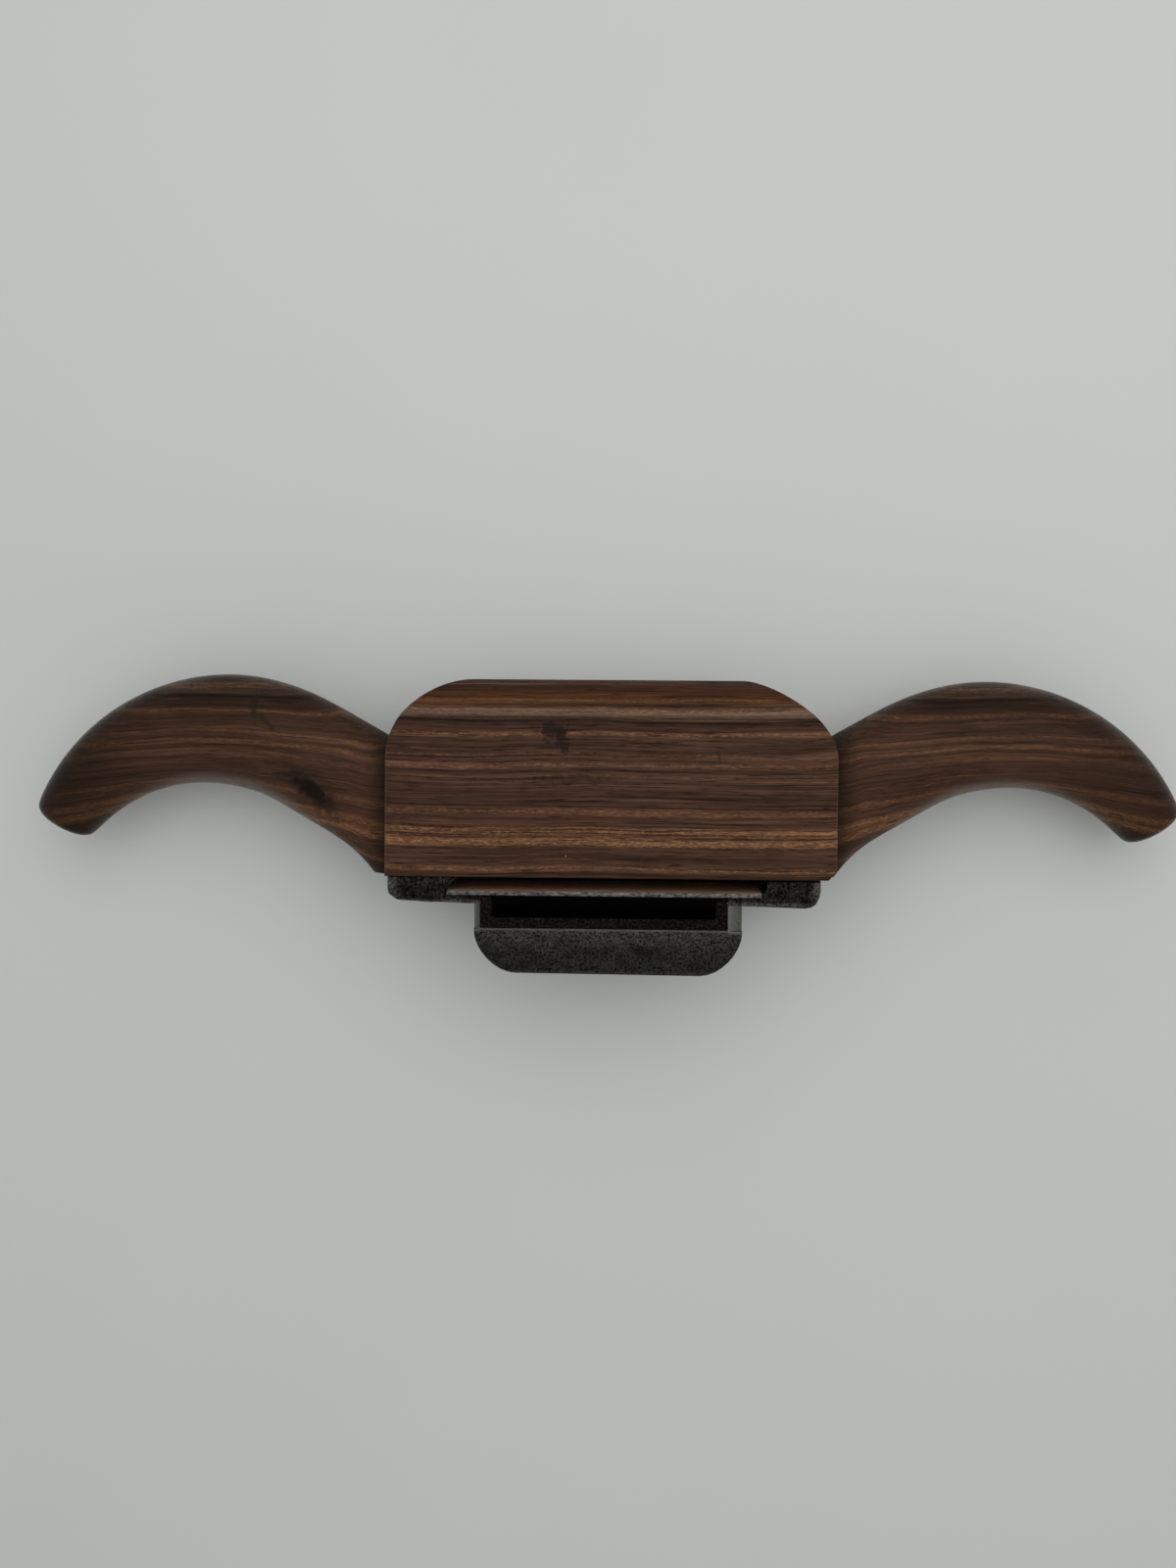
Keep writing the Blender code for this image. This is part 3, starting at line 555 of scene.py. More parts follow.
@dataclass(frozen=True)
class Rosewood:
    """Striped rosewood, oiled and worn, with open pores, old stains and a polished grip."""

    light: float = 0.61  # share of a colour that this room's light gives back
    sheen: float = 0.0064  # and what the surface adds
    glow: Corner = (1.0, 0.80, 0.62)  # hue of its highlights
    tilt: float = 0.3  # how far the layers lean
    span: Pair = (-36.0, 44.0)  # millimetres across the layers
    # The stops at 31.0 and 30.4 mm are greyed by painted sheen where the heel starts to round off.
    stripes: tuple[tuple[float, Tint], ...] = (
        (38.4, (54, 31, 17)), (36.9, (60, 35, 19)), (34.9, (82, 53, 33)), (33.4, (52, 37, 26)),
        (32.5, (76, 56, 42)), (31.7, (92, 70, 54)), (31.0, (84, 66, 54)), (30.4, (70, 54, 44)),
        (29.0, (66, 51, 42)), (28.4, (38, 26, 20)), (27.4, (57, 41, 34)), (24.8, (58, 41, 33)),
        (23.7, (86, 61, 46)), (22.4, (61, 44, 35)), (17.6, (60, 43, 35)), (16.1, (76, 55, 44)),
        (14.0, (62, 44, 35)), (12.2, (82, 59, 46)), (10.4, (56, 40, 32)), (8.2, (73, 53, 42)),
        (6.0, (62, 45, 37)), (-2.8, (61, 44, 36)), (-4.7, (82, 58, 44)), (-6.6, (66, 47, 38)),
        (-9.9, (67, 48, 38)), (-11.8, (95, 68, 49)), (-13.8, (76, 53, 40)), (-16.1, (98, 71, 52)),
        (-18.2, (64, 46, 37)), (-24.6, (64, 46, 37)), (-25.8, (88, 64, 48)), (-27.6, (54, 39, 31)),
    )
    bend_span: float = 250.0  # how far out the next table may reach
    bend_range: Pair = (-5.0, 10.0)  # and how low and high
    bend: tuple[Pair, ...] = (  # rise of the layers, from the middle to a handle's tip
        (0.0, 0.0), (84.0, 0.0), (96.0, 2.2), (112.0, 3.8), (130.0, 5.2), (150.0, 5.5),
        (175.0, 3.9), (200.0, 0.8), (222.0, -3.0),
    )
    drift: Noise = Noise((0.016, 0.05, 0.05), 2.0, 0.5)
    waver: Noise = Noise((0.03, 0.6, 0.2), 3.0, 0.6)
    broad: Noise = Noise((0.008, 0.33, 0.06), 2.0, 0.5)
    streak: Noise = Noise((0.010, 1.05, 0.22), 3.0, 0.65, (7.0, 3.0, 0.0))
    fibre: Noise = Noise((0.045, 2.3, 1.1), 3.0, 0.7, (2.0, 8.0, 1.0))
    fleck: Noise = Noise((0.45, 1.9, 1.2), 3.0, 0.7, (1.0, 0.0, 5.0))
    flecks: tuple[tuple[float, float, float, Tint], ...] = (  # range, share and tint
        (0.50, 0.60, 0.7, (150, 108, 74)), (0.46, 0.36, 0.6, (64, 44, 34)))
    vein: Noise = Noise((0.010, 1.30, 0.30), 2.0, 0.6, (4.0, 1.0, 6.0))
    vein_tint: Tint = (110, 76, 54)
    line: Noise = Noise((0.013, 1.45, 0.35), 3.0, 0.65, (0.0, 9.0, 2.0))
    pore: Noise = Noise((0.09, 2.3, 1.0), 2.0, 0.6, (3.0, 1.0, 0.0))
    pore_tint: Tint = (28, 19, 14)
    middle: float = 2.15  # the block's middle in X
    block_half: float = 82.85
    handle_hue: Corner = (0.88, 0.83, 0.78)  # handles against the block
    arris_wear_and_highlight: Tint = (96, 74, 58)
    heel_sheen_and_line: tuple[tuple[float, float, float, float, float, Tint], ...] = (  # Y range, share, tint: painted sheen where the heel starts to round off, then a dark line just before the heel arris
        (29.4, 30.0, 31.4, 33.4, 0.42, (98, 80, 70)), (28.3, 28.9, 29.2, 29.5, 0.55, (36, 26, 20)))
    arch_centre: Pair = (149.4, -47.3)  # what a handle's hollow side curves round
    arch_radii: Pair = (57.0, 51.5)  # where its painted reflection band begins and is full
    arch_reflection_tint: Tint = (92, 84, 78)
    tip_shade_and_dirt: tuple[Corner, ...] = (  # X range and how dark they are: painted shade on the handle tips, with dirt
        (-165.0, -208.0, 0.30), (168.0, 212.0, 0.45))
    marks: tuple[Mark, ...] = (
        Mark((-18.6, 23.9, 0.0), (4.6, 3.2, 6.0), 0.0, 0.9, 0.35, 0.35, 0.85),
        Mark((-15.8, 19.8, 0.0), (1.9, 4.6, 6.0), 24.0, 0.8, 0.5, 0.4, 0.8),
        Mark((-12.5, 6.4, 0.0), (12.0, 1.5, 6.0), 1.0, 1.0, 0.3, 0.6, 0.5),
        Mark((38.3, 24.0, 0.0), (2.0, 0.7, 6.0), 10.0, 0.5, 0.8, 0.3, 0.6),
        Mark((19.7, 20.4, 0.0), (1.4, 0.7, 6.0), 0.0, 0.5, 0.8, 0.3, 0.6),
        Mark((41.5, 15.8, 0.0), (0.6, 2.4, 6.0), 6.0, 0.5, 0.8, 0.3, 0.5),
        Mark((-131.5, 33.0, -5.0), (1.2, 5.0, 9.0), 6.0, 0.6, 0.6, 0.35, 0.8),
        Mark((-127.0, 27.5, -5.0), (0.9, 4.5, 9.0), 44.0, 0.6, 0.6, 0.35, 0.6),
        Mark((-108.5, 1.0, -6.0), (10.5, 4.4, 14.0), -38.0, 0.45, 0.3, 0.8, 0.9),
        Mark((-116.0, 8.0, -6.0), (8.0, 1.0, 12.0), 4.0, 0.6, 0.4, 0.8, 0.7),
        Mark((-109.0, 1.6, -6.0), (6.5, 2.6, 14.0), -36.0, 0.5, 0.5, 0.4, 0.9, (20, 15, 12)),
        Mark((-14.0, -21.5, 0.0), (0.22, 0.22, 4.0), 0.0, 0.3, 1.5, 0.3, 0.8, (150, 138, 126)),
    )

    def paint(self, tint: Tint) -> tuple[float, ...]:
        """Bare colour of a stripe that looks so in this light."""
        return tuple(max(level - self.sheen * glow, 0.002) / self.light
                     for level, glow in zip(linear(tint), self.glow))

    def grain(self, board: Board) -> Socket:
        """Find a place's position in the wood's own directions.

        Args:
            board: the material's board.

        Returns:
            The place along the grain, across its layers and across both, in millimetres.
        """
        x, y, z = board.parts(board.place)
        curve = board.node("ShaderNodeFloatCurve")
        points = curve.mapping.curves[0].points
        while len(points) < len(self.bend):
            points.new(0.5, 0.5)
        low, high = self.bend_range
        for point, (far, rise) in zip(points, self.bend):
            point.location = (far / self.bend_span, (rise - low) / (high - low))
        curve.mapping.update()
        board.feed(curve.inputs["Value"], board.times(board.sum("ABSOLUTE", x), 1 / self.bend_span))
        rise = board.reach(curve.outputs["Value"], 0.0, 1.0, low, high)
        layer = board.sum("SUBTRACT", board.sum("ADD", y, board.times(z, self.tilt)), rise)
        layer = board.sum("ADD", layer, board.sway(board.noise(self.drift), -0.55, 0.55))
        return board.whole(x, layer, board.sum("SUBTRACT", z, board.times(y, self.tilt)))

    def figure(self, board: Board, grain: Socket, streak: Socket, pore: Socket, grip: Socket) -> Socket:
        """Colour of the bare wood.

        Args:
            board: the material's board.
            grain: the place in the wood's own directions.
            streak: pattern of its streaks.
            pore: mask of its pores.
            grip: mask of the handles, where the figure is quieter.

        Returns:
            The colour.
        """
        low, high = self.span
        stops = [((v - low) / (high - low), self.paint(tint)) for v, tint in self.stripes[::-1]]
        waver = board.sway(board.noise(self.waver, grain), -0.24, 0.24)
        layer = board.sum("ADD", board.parts(grain)[1], waver)
        colour = board.ramp(board.reach(layer, low, high), stops)
        bright = board.node("ShaderNodeRGBToBW")
        board.feed(bright.inputs[0], colour)
        tan = board.reach(bright.outputs[0], 0.045, 0.11)

        colour = board.shade(colour, board.sway(board.noise(self.broad, grain), 0.82, 1.20))
        quiet = board.shade(colour, board.sway(streak, 0.72, 1.15, 0.28))
        colour = board.shade(colour, board.sway(streak, 0.50, 1.50, 0.28))
        colour = board.shade(colour, board.sway(board.noise(self.fibre, grain), 0.60, 1.40, 0.28))
        fleck = board.noise(self.fleck, grain)
        for start, full, share, tint in self.flecks:
            mask = board.times(board.reach(fleck, start, full), tan)
            colour = board.coat(colour, mask, share, self.paint(tint))
        vein = board.reach(board.noise(self.vein, grain), 0.61, 0.69)
        colour = board.coat(colour, vein, 0.5, self.paint(self.vein_tint))
        colour = board.coat(colour, pore, 0.72, self.paint(self.pore_tint))
        return board.coat(colour, grip, 0.25, quiet)

    def weathered(self, board: Board, colour: Socket, grip: Socket, held: Socket, off: Socket) -> Socket:
        """Colour after years of use, with painted shade, sheen, highlight and reflection laid on it.

        Args:
            board: the material's board.
            colour: the bare wood's colour.
            grip: mask of the handles.
            held: mask of the handles' grip, away from the block.
            off: distance from the block's middle along X.

        Returns:
            The colour.
        """
        x, y, z = board.parts(board.place)
        half = self.block_half
        blur = board.noise(Noise(0.035, 3.0, 0.6))
        colour = board.shade(colour, board.sway(blur, 0.90, 1.08))
        colour = board.mix(grip, colour, self.handle_hue, "MULTIPLY")
        # Painted shade: each handle darkens towards its root beside the block's end.
        corner = board.reach(off, half + 0.2, half + 10.0, 0.34, 1.0, True)
        colour = board.mix(grip, colour, board.shade(colour, corner))
        # Pale line along the block's end arrises: edge wear and painted highlight.
        arris = board.times(board.reach(off, half - 0.7, half - 0.45), board.reach(off, half + 0.1, half),
                            board.reach(z, -1.5, -0.5))
        colour = board.coat(colour, arris, 0.16, self.paint(self.arris_wear_and_highlight))
        # Painted sheen on the heel's first rounding, and a dark line just before its arris, on the block
        # only.
        heel = board.times(board.reach(z, -9.0, -6.0), board.reach(grip, 1.0, 0.0))
        for start, full, fall, end, share, tint in self.heel_sheen_and_line:
            band = board.times(board.reach(y, start, full), board.reach(y, end, fall), heel)
            colour = board.coat(colour, band, share, self.paint(tint))
        # Painted reflection: a pale band along each handle's hollow side, as if it mirrored the table.
        arch = board.whole(board.sum("SUBTRACT", board.sum("ABSOLUTE", x), self.arch_centre[0]),
                           board.sum("SUBTRACT", y, self.arch_centre[1]), 0.0)
        arch_reflection_mask = board.reach(board.length(arch), *self.arch_radii, soft=True)
        colour = board.coat(colour, arch_reflection_mask, 0.55, self.paint(self.arch_reflection_tint))
        # The handles' back side, from Y 16 to 34 mm, is made darker.
        colour = board.dim(colour, board.times(board.reach(y, 16.0, 34.0), held), 0.52)
        # Painted shade and dirt darken the handle tips.
        for start, end, level in self.tip_shade_and_dirt:
            colour = board.dim(colour, board.reach(x, start, end), level)
        for mark in self.marks:
            colour = board.coat(colour, board.blot(mark), mark.depth, self.paint(mark.tint))
        return colour

    def material(self) -> bpy.types.Material:
        """Wire the finish.

        Returns:
            The material.
        """
        board = Board("rosewood")
        grain = self.grain(board)
        off = board.sum("ABSOLUTE", board.sum("SUBTRACT", board.parts(board.place)[0], self.middle))
        grip = board.reach(off, self.block_half - 0.25, self.block_half + 0.25)
        held = board.reach(off, 86.0, 125.0)
        streak = board.noise(self.streak, grain)
        pore = board.sum("MAXIMUM", board.reach(board.noise(self.line, grain), 0.58, 0.64),
                         board.reach(board.noise(self.pore, grain), 0.60, 0.67))
        colour = self.figure(board, grain, streak, pore, grip)
        colour = self.weathered(board, colour, grip, held, off)

        gloss = board.sway(board.noise(Noise(0.08, 4.0, 0.65)), -0.06, 0.08)
        rough = board.sum("ADD", board.reach(held, 0.0, 1.0, 0.56, 0.27), gloss)
        rough = board.sum("ADD", rough, board.times(pore, 0.15))
        level = board.times(grip, 0.8)
        relief = board.bump(board.between(level, board.reach(pore, 1.0, 0.0), 0.8), 0.10)
        relief = board.bump(board.between(level, streak, 0.5), 0.05, relief)
        relief = board.bump(board.noise(Noise(0.22, 3.0, 0.5)), 0.12, relief)
        board.wear(Base_Color=colour, Roughness=rough, Normal=relief, Specular_IOR_Level=0.14,
                   Specular_Tint=(*self.glow, 1.0))
        return board.material


@dataclass(frozen=True)
class CastIron:
    """Dark mottled iron: rough brown round the window, rubbed grey on the pad and arms, pale edges that are
    partly rubbed and partly painted highlight, and painted black shade in the throat and in the gap behind
    the right bar.
    """

    bare: Tones = ((12, 11, 9), (61, 60, 55))
    rust: Tint = (48, 35, 23)
    grey: Tones = ((10, 10, 9), (70, 69, 65))
    black: Tones = ((9, 8, 6), (46, 38, 30))
    rubbed: Tones = ((92, 93, 89), (116, 117, 112))
    # painted shade for the throat walls
    throat_shade: Tint = (5, 5, 5)
    speck: Noise = Noise(1.15, 3.0, 0.8)
    cloud: Noise = Noise(0.22, 4.0, 0.65)
    stain: Noise = Noise(0.45, 5.0, 0.75)
    pits: Noise = Noise(1.4, 4.0, 0.7)
    spot: Mark = Mark((14.0, -56.0, 0.0), (3.2, 2.0, 3.0), 0.0, 0.5, 0.5, 0.5, 0.5)
    bar_face: float = -39.3
    pad_back: float = -48.2
    pad_front: float = -64.2
    rim_half: float = 45.4
    arm_end: float = 52.0
    window_half: float = 41.3
    bar_half: float = 79.0

    def material(self) -> bpy.types.Material:
        """Wire the finish.

        Returns:
            The material.
        """
        board = Board("cast_iron")
        x, y, z = board.parts(board.place)
        out = board.sum("ABSOLUTE", x)
        speck, cloud = board.noise(self.speck), board.noise(self.cloud)
        brown = board.reach(board.noise(self.stain), 0.50, 0.60)
        skewed = board.moved(board.place, (0.3, 5.0, 1.0), turn=(0.0, 0.0, 0.6))
        scratch = board.noise(Noise(1.0, 3.0, 0.7), skewed)

        back, face, rim_half = self.pad_back, self.bar_face, self.rim_half
        pad = board.times(board.reach(y, back + 0.15, back - 0.15), board.reach(z, -0.75, -0.5))
        rim = board.times(board.reach(out, rim_half + 0.1, rim_half - 0.1),
                          board.reach(y, back - 0.05, back + 0.1), board.reach(z, -0.25, -0.45))
        arm = board.times(board.reach(out, rim_half - 0.05, rim_half + 0.25),
                          board.reach(out, self.arm_end + 1.0, self.arm_end),
                          board.reach(y, face + 0.4, face - 0.2), board.reach(y, back - 2.0, back, soft=True))
        # Pale rims on the bar's ends and front edge: partly rubbed wear, partly painted highlight on their
        # rounding.
        worn = board.sum("MAXIMUM", board.reach(out, self.bar_half - 4.5, self.bar_half - 1.0, soft=True),
                         board.reach(y, face + 1.9, face + 0.7, soft=True))
        worn = board.times(worn, board.reach(y, face - 0.1, face + 0.1))
        # Painted shade: the throat walls below the window's edge are made near black.
        throat = board.times(board.reach(out, self.window_half + 0.4, self.window_half + 0.2),
                             board.reach(z, -1.4, -2.4), board.reach(y, -52.0, -51.0))
        # Painted shadow: a black line where the gap between the wood and the right bar lies.
        gap_shadow = board.times(board.reach(y, -30.5, -30.1), board.reach(x, 57.0, 60.0))

        colour = board.tints(board.reach(speck, 0.45, 0.58), *self.bare)
        colour = board.coat(colour, brown, 0.55, linear(self.rust))
        colour = board.shade(colour, board.sway(cloud, 0.25, 1.25, 0.38))
        fall = board.reach(y, back - 4.5, back - 8.0, 1.0, 0.66, True)
        grey = board.shade(board.tints(board.reach(speck, 0.42, 0.52), *self.grey),
                           board.times(fall, board.sway(cloud, 0.6, 1.4, 0.35)))
        colour = board.mix(board.sum("MAXIMUM", pad, board.times(worn, 0.8)), colour, grey)
        colour = board.dim(colour, worn, 1.9)
        colour = board.dim(colour, board.reach(x, 56.0, 62.0), 0.72)
        colour = board.mix(rim, colour, board.tints(board.reach(speck, 0.50, 0.62), *self.black))
        bright = board.tints(board.reach(scratch, 0.3, 0.7), *self.rubbed)
        colour = board.mix(board.times(arm, board.reach(speck, 0.30, 0.42)), colour, bright)
        # Painted highlight: a bright line along the pad's back arris.
        step = board.times(board.reach(y, back - 0.9, back - 0.6), pad, 0.5)
        # Painted highlight: a pale rim along the pad's front edge.
        lip_highlight = board.times(board.reach(y, self.pad_front + 0.9, self.pad_front + 0.2, 0.0, 0.20, True),
                          board.reach(speck, 0.35, 0.55))
        colour = board.mix(board.sum("MAXIMUM", step, lip_highlight), colour, bright)
        colour = board.dim(colour, board.blot(self.spot), self.spot.depth)
        # Painted shadow in the gap behind the right bar.
        colour = board.dim(colour, gap_shadow, 0.1)
        colour = board.mix(throat, colour, linear(self.throat_shade))

        rubbed = board.sum("MAXIMUM", arm, board.times(worn, 0.6))
        rough = board.between(rubbed, board.sway(speck, 0.66, 0.44), 0.36)
        board.wear(Base_Color=colour, Roughness=rough, Metallic=0.92, Specular_IOR_Level=0.3,
                   Normal=board.bump(board.noise(self.pits), 0.16))
        return board.material


@dataclass(frozen=True)
class GroundSteel:
    """Blade steel with a bright ground edge, a brown skin on its faces, and a painted reflection of the wood
    on its back face.
    """

    bright: Tones = ((44, 42, 39), (142, 140, 137))
    stained: Tint = (60, 50, 44)
    skin: Tones = ((78, 62, 55), (104, 84, 74))
    # Pale brown on the back face's upper part: painted reflection of the wood's front face.
    rubbed: Tones = ((166, 130, 104), (202, 160, 128))
    scratch: Noise = Noise((0.5, 6.0, 1.2), 4.0, 0.7)
    stain: Noise = Noise((0.08, 1.0, 0.25), 4.0, 0.65)
    spots: Noise = Noise((0.55, 1.2, 1.2), 4.0, 0.75)
    back_y: float = -34.6
    lean: float = 0.0577  # how far the blade's back moves along Y for each millimetre of depth

    def material(self) -> bpy.types.Material:
        """Wire the finish.

        Returns:
            The material.
        """
        board = Board("blade_steel")
        _, y, z = board.parts(board.place)
        scratch, stain = board.noise(self.scratch), board.noise(self.stain)
        edge = board.reach(z, -0.25, 0.1)
        behind = board.sum("ADD", y, board.times(z, self.lean))
        # Painted reflection: the back face takes the wood's brown down to 26 mm deep, fading out by 34 mm.
        upper = board.times(board.reach(z, -34.0, -26.0, soft=True),
                            board.reach(behind, self.back_y - 1.0, self.back_y - 0.5))
        pale = board.tints(board.reach(board.noise(self.spots), 0.38, 0.66), *self.bright)
        pale = board.coat(pale, board.reach(stain, 0.55, 0.68), 0.7, linear(self.stained))
        cloud = board.reach(stain, 0.35, 0.65)
        skin = board.mix(upper, board.tints(cloud, *self.skin), board.tints(cloud, *self.rubbed))
        metallic = board.between(edge, board.reach(upper, 0.0, 1.0, 0.6, 0.15), 1.0)
        board.wear(Base_Color=board.mix(edge, skin, pale), Roughness=board.sway(scratch, 0.30, 0.42),
                   Normal=board.bump(scratch, 0.02), Metallic=metallic)
        return board.material


@dataclass(frozen=True)
class Metal:
    """Small turned metal: brass or blued steel, tarnished here and there."""

    name: str
    bright: Tint
    dark: Tint
    roughness: float

    def material(self) -> bpy.types.Material:
        """Wire the finish.

        Returns:
            The material.
        """
        board = Board(self.name)
        tarnish = board.reach(board.noise(Noise(0.6, 4.0, 0.65)), 0.35, 0.65)
        fine = board.noise(Noise(4.0, 3.0, 0.6))
        rough = board.sway(fine, self.roughness - 0.07, self.roughness + 0.10)
        board.wear(Base_Color=board.tints(tarnish, self.dark, self.bright), Roughness=rough,
                   Metallic=1.0, Normal=board.bump(fine, 0.015))
        return board.material


@dataclass(frozen=True)
class Japan:
    """Black japanning, satin, rubbed thin here and there, with painted black shade on the throat face."""

    black: Tones = ((34, 32, 32), (58, 50, 44))
    # painted shade for the throat face
    throat_shade: Tint = (7, 7, 7)
    throat_front: float = -50.2
    throat_half: float = 49.6
    throat_floor: float = -36.5

    def material(self) -> bpy.types.Material:
        """Wire the finish.

        Returns:
            The material.
        """
        board = Board("black_japan")
        x, y, z = board.parts(board.place)
        cloud = board.noise(Noise(0.25, 4.0, 0.65))
        # Painted shade: the throat face is made a dead black that gives back no light.
        inside = board.times(board.reach(y, self.throat_front - 0.6, self.throat_front + 0.4),
                             board.reach(board.sum("ABSOLUTE", x), self.throat_half + 0.6, self.throat_half),
                             board.reach(z, self.throat_floor - 0.3, self.throat_floor + 0.6))
        colour = board.tints(board.reach(cloud, 0.56, 0.70), *self.black)
        board.wear(Base_Color=board.mix(inside, colour, linear(self.throat_shade)), Metallic=inside,
                   Roughness=board.between(inside, board.sway(cloud, 0.34, 0.52), 0.95),
                   Normal=board.bump(board.noise(Noise(1.6, 3.0, 0.6)), 0.04))
        return board.material


@dataclass(frozen=True)
class TableTop:
    """Matt white table."""

    tint: Tones = ((226, 229, 227), (223, 227, 225))

    def material(self) -> bpy.types.Material:
        """Wire the finish."""
        board = Board("table_top")
        cloud = board.reach(board.noise(Noise(0.006, 3.0, 0.5)), 0.3, 0.7)
        board.wear(Base_Color=board.tints(cloud, *self.tint), Roughness=0.62, Specular_IOR_Level=0.3)
        return board.material


# --- The tool -------------------------------------------------------------------------------

@dataclass
class Handle:
    """One drooping handle: a flared root, an even grip and a tapering tip.

    Slopes are in degrees, and shares run along the middle line from root to tip.
    """

    side: int
    crest_x: float
    bend_radius: float
    tip_slope: float
    grip_width: float
    hook: float
    start: float = 0.063
    crest_y: float = 0.0247
    root_slope: float = 29.4
    root_width: float = 0.0677
    tip_width: float = 0.0242
    flare_end: float = 0.20
    taper_start: float = 0.50
    width_taper: float = 1.45
    thickness: Corner = (0.035, 0.032, 0.022)
    thickness_taper: float = 2.2
    squareness: Corner = (3.4, 2.15, 2.0)
    steps: Pair = (0.002, 0.0155)  # depth of its top below the sole
    step_rise: float = 1.6
    tip_round: float = 0.0046
    tip_fullness: float = 0.55
    tip_angles: tuple[float, ...] = (30.0, 55.0, 75.0)
    tip_inset: float = 0.0012
    stations: int = 24
    sides: int = 12

    def spine(self, share: float) -> tuple[Vector, float]:
        """Follow the middle line in plan: a straight root, then an arc.

        Args:
            share: share of the line's length.

        Returns:
            The point and the slope in radians.
        """
        radius, slope = self.bend_radius, math.radians(self.root_slope)
        centre = Vector((self.crest_x, self.crest_y - radius))
        arc_start = centre + radius * Vector((-math.sin(slope), math.cos(slope)))
        forward = Vector((math.cos(slope), math.sin(slope)))
        straight = (arc_start.x - self.start) / forward.x
        travel = share * (straight + radius * (slope - math.radians(self.tip_slope)))
        if travel < straight:
            return arc_start - forward * (straight - travel), slope
        slope -= (travel - straight) / radius
        radius -= self.hook * self.tail(share) ** 3
        return centre + radius * Vector((-math.sin(slope), math.cos(slope))), slope

    def tail(self, share: float) -> float:
        """How far into the taper, from 0 to 1."""
        return max(share - self.taper_start, 0.0) / (1 - self.taper_start)

    def width(self, share: float) -> float:
        """Width in plan."""
        if share < self.flare_end:
            return self.grip_width + (self.root_width - self.grip_width) * (1 - share / self.flare_end) ** 2
        return self.grip_width - (self.grip_width - self.tip_width) * self.tail(share) ** self.width_taper

    def eased(self, share: float, sizes: Corner) -> float:
        """Size that eases from the root to the grip and tapers to the tip."""
        root, grip, tip = sizes
        if share < self.taper_start:
            ease = share / self.taper_start
            return root + (grip - root) * ease * ease * (3 - 2 * ease)
        return grip - (grip - tip) * self.tail(share) ** self.thickness_taper

    def station(self, share: float, beyond: float = 0.0, scale: float = 1.0) -> None:
        """Add one section ring to the open handle.

        Args:
            share: where along the handle.
            beyond: how far past the middle line's end.
            scale: its size, for the round tip.
        """
        point, slope = self.spine(share)
        point = point + beyond * Vector((math.cos(slope), math.sin(slope)))
        thick, width = self.eased(share, self.thickness), self.width(share)
        power = self.eased(share, self.squareness)
        half = math.radians(30)
        swell = (math.cos(half) ** power + math.sin(half) ** power) ** (-1 / power)
        full = 6 / (4 + 2 * swell * math.cos(half))  # a smoothed ring keeps its width
        step = self.steps[0] + (self.steps[1] - self.steps[0]) * share ** self.step_rise
        middle = Vector((self.side * point.x, point.y, -step - thick / 2))
        heading = slope if self.side > 0 else math.pi - slope
        bpy.ops.mesh.select_all(action="DESELECT")
        bpy.ops.mesh.primitive_circle_add(vertices=self.sides, radius=width / 2 * full * scale,
                                          location=middle, rotation=(QUARTER, 0.0, heading + QUARTER))
        stretch((1.0, 1.0, thick / width), middle)
        across = Vector((-math.sin(heading), math.cos(heading), 0.0))
        mesh = bpy.context.edit_object.data
        for corner in bmesh.from_edit_mesh(mesh).verts:
            if corner.select:
                reach = corner.co - middle
                corner.select_set(abs(reach.z) > SAME and abs(reach.dot(across)) > SAME)
        bmesh.update_edit_mesh(mesh)
        stretch((swell, swell, swell), middle)

    def build(self, name: str) -> Piece:
        """Model the handle ring by ring and smooth it.

        Args:
            name: its name.

        Returns:
            The handle.
        """
        rest()
        bpy.ops.mesh.primitive_plane_add(size=MM)
        piece = named(name)
        with editing(piece):
            choose_all()
            bpy.ops.mesh.delete(type="VERT")
            bpy.ops.mesh.select_mode(type=Part.CORNERS.value)
            for index in range(self.stations):
                self.station(index / (self.stations - 1))
            for angle in self.tip_angles:
                turn = math.radians(angle)
                self.station(1.0, self.tip_round * math.sin(turn), math.cos(turn) ** self.tip_fullness)
            self.skin(self.stations + len(self.tip_angles))
        modify(piece, "SUBSURF", levels=2, render_levels=2)
        return piece

    def skin(self, rings: int) -> None:
        """Bridge the rings in order and close both ends."""
        bpy.ops.mesh.select_mode(type=Part.EDGES.value)
        for index in range(rings - 1):
            self.pick_rings(index, index + 2)
            bpy.ops.mesh.bridge_edge_loops()
        for index in (0, rings - 1):
            self.pick_rings(index, index + 1)
            bpy.ops.mesh.edge_face_add()
            if index:
                bpy.ops.mesh.inset(thickness=self.tip_inset)
        face_out()

    def pick_rings(self, first: int, last: int) -> None:
        """Select the rings of the open handle from the first up to the last."""
        mesh = bpy.context.edit_object.data
        bpy.ops.mesh.select_all(action="DESELECT")
        work = bmesh.from_edit_mesh(mesh)
        work.verts.ensure_lookup_table()
        for ring_index in range(first, last):
            corners = set(work.verts[ring_index * self.sides:(ring_index + 1) * self.sides])
            for edge in work.edges:
                if corners.issuperset(edge.verts):
                    edge.select_set(True)
        bmesh.update_edit_mesh(mesh)


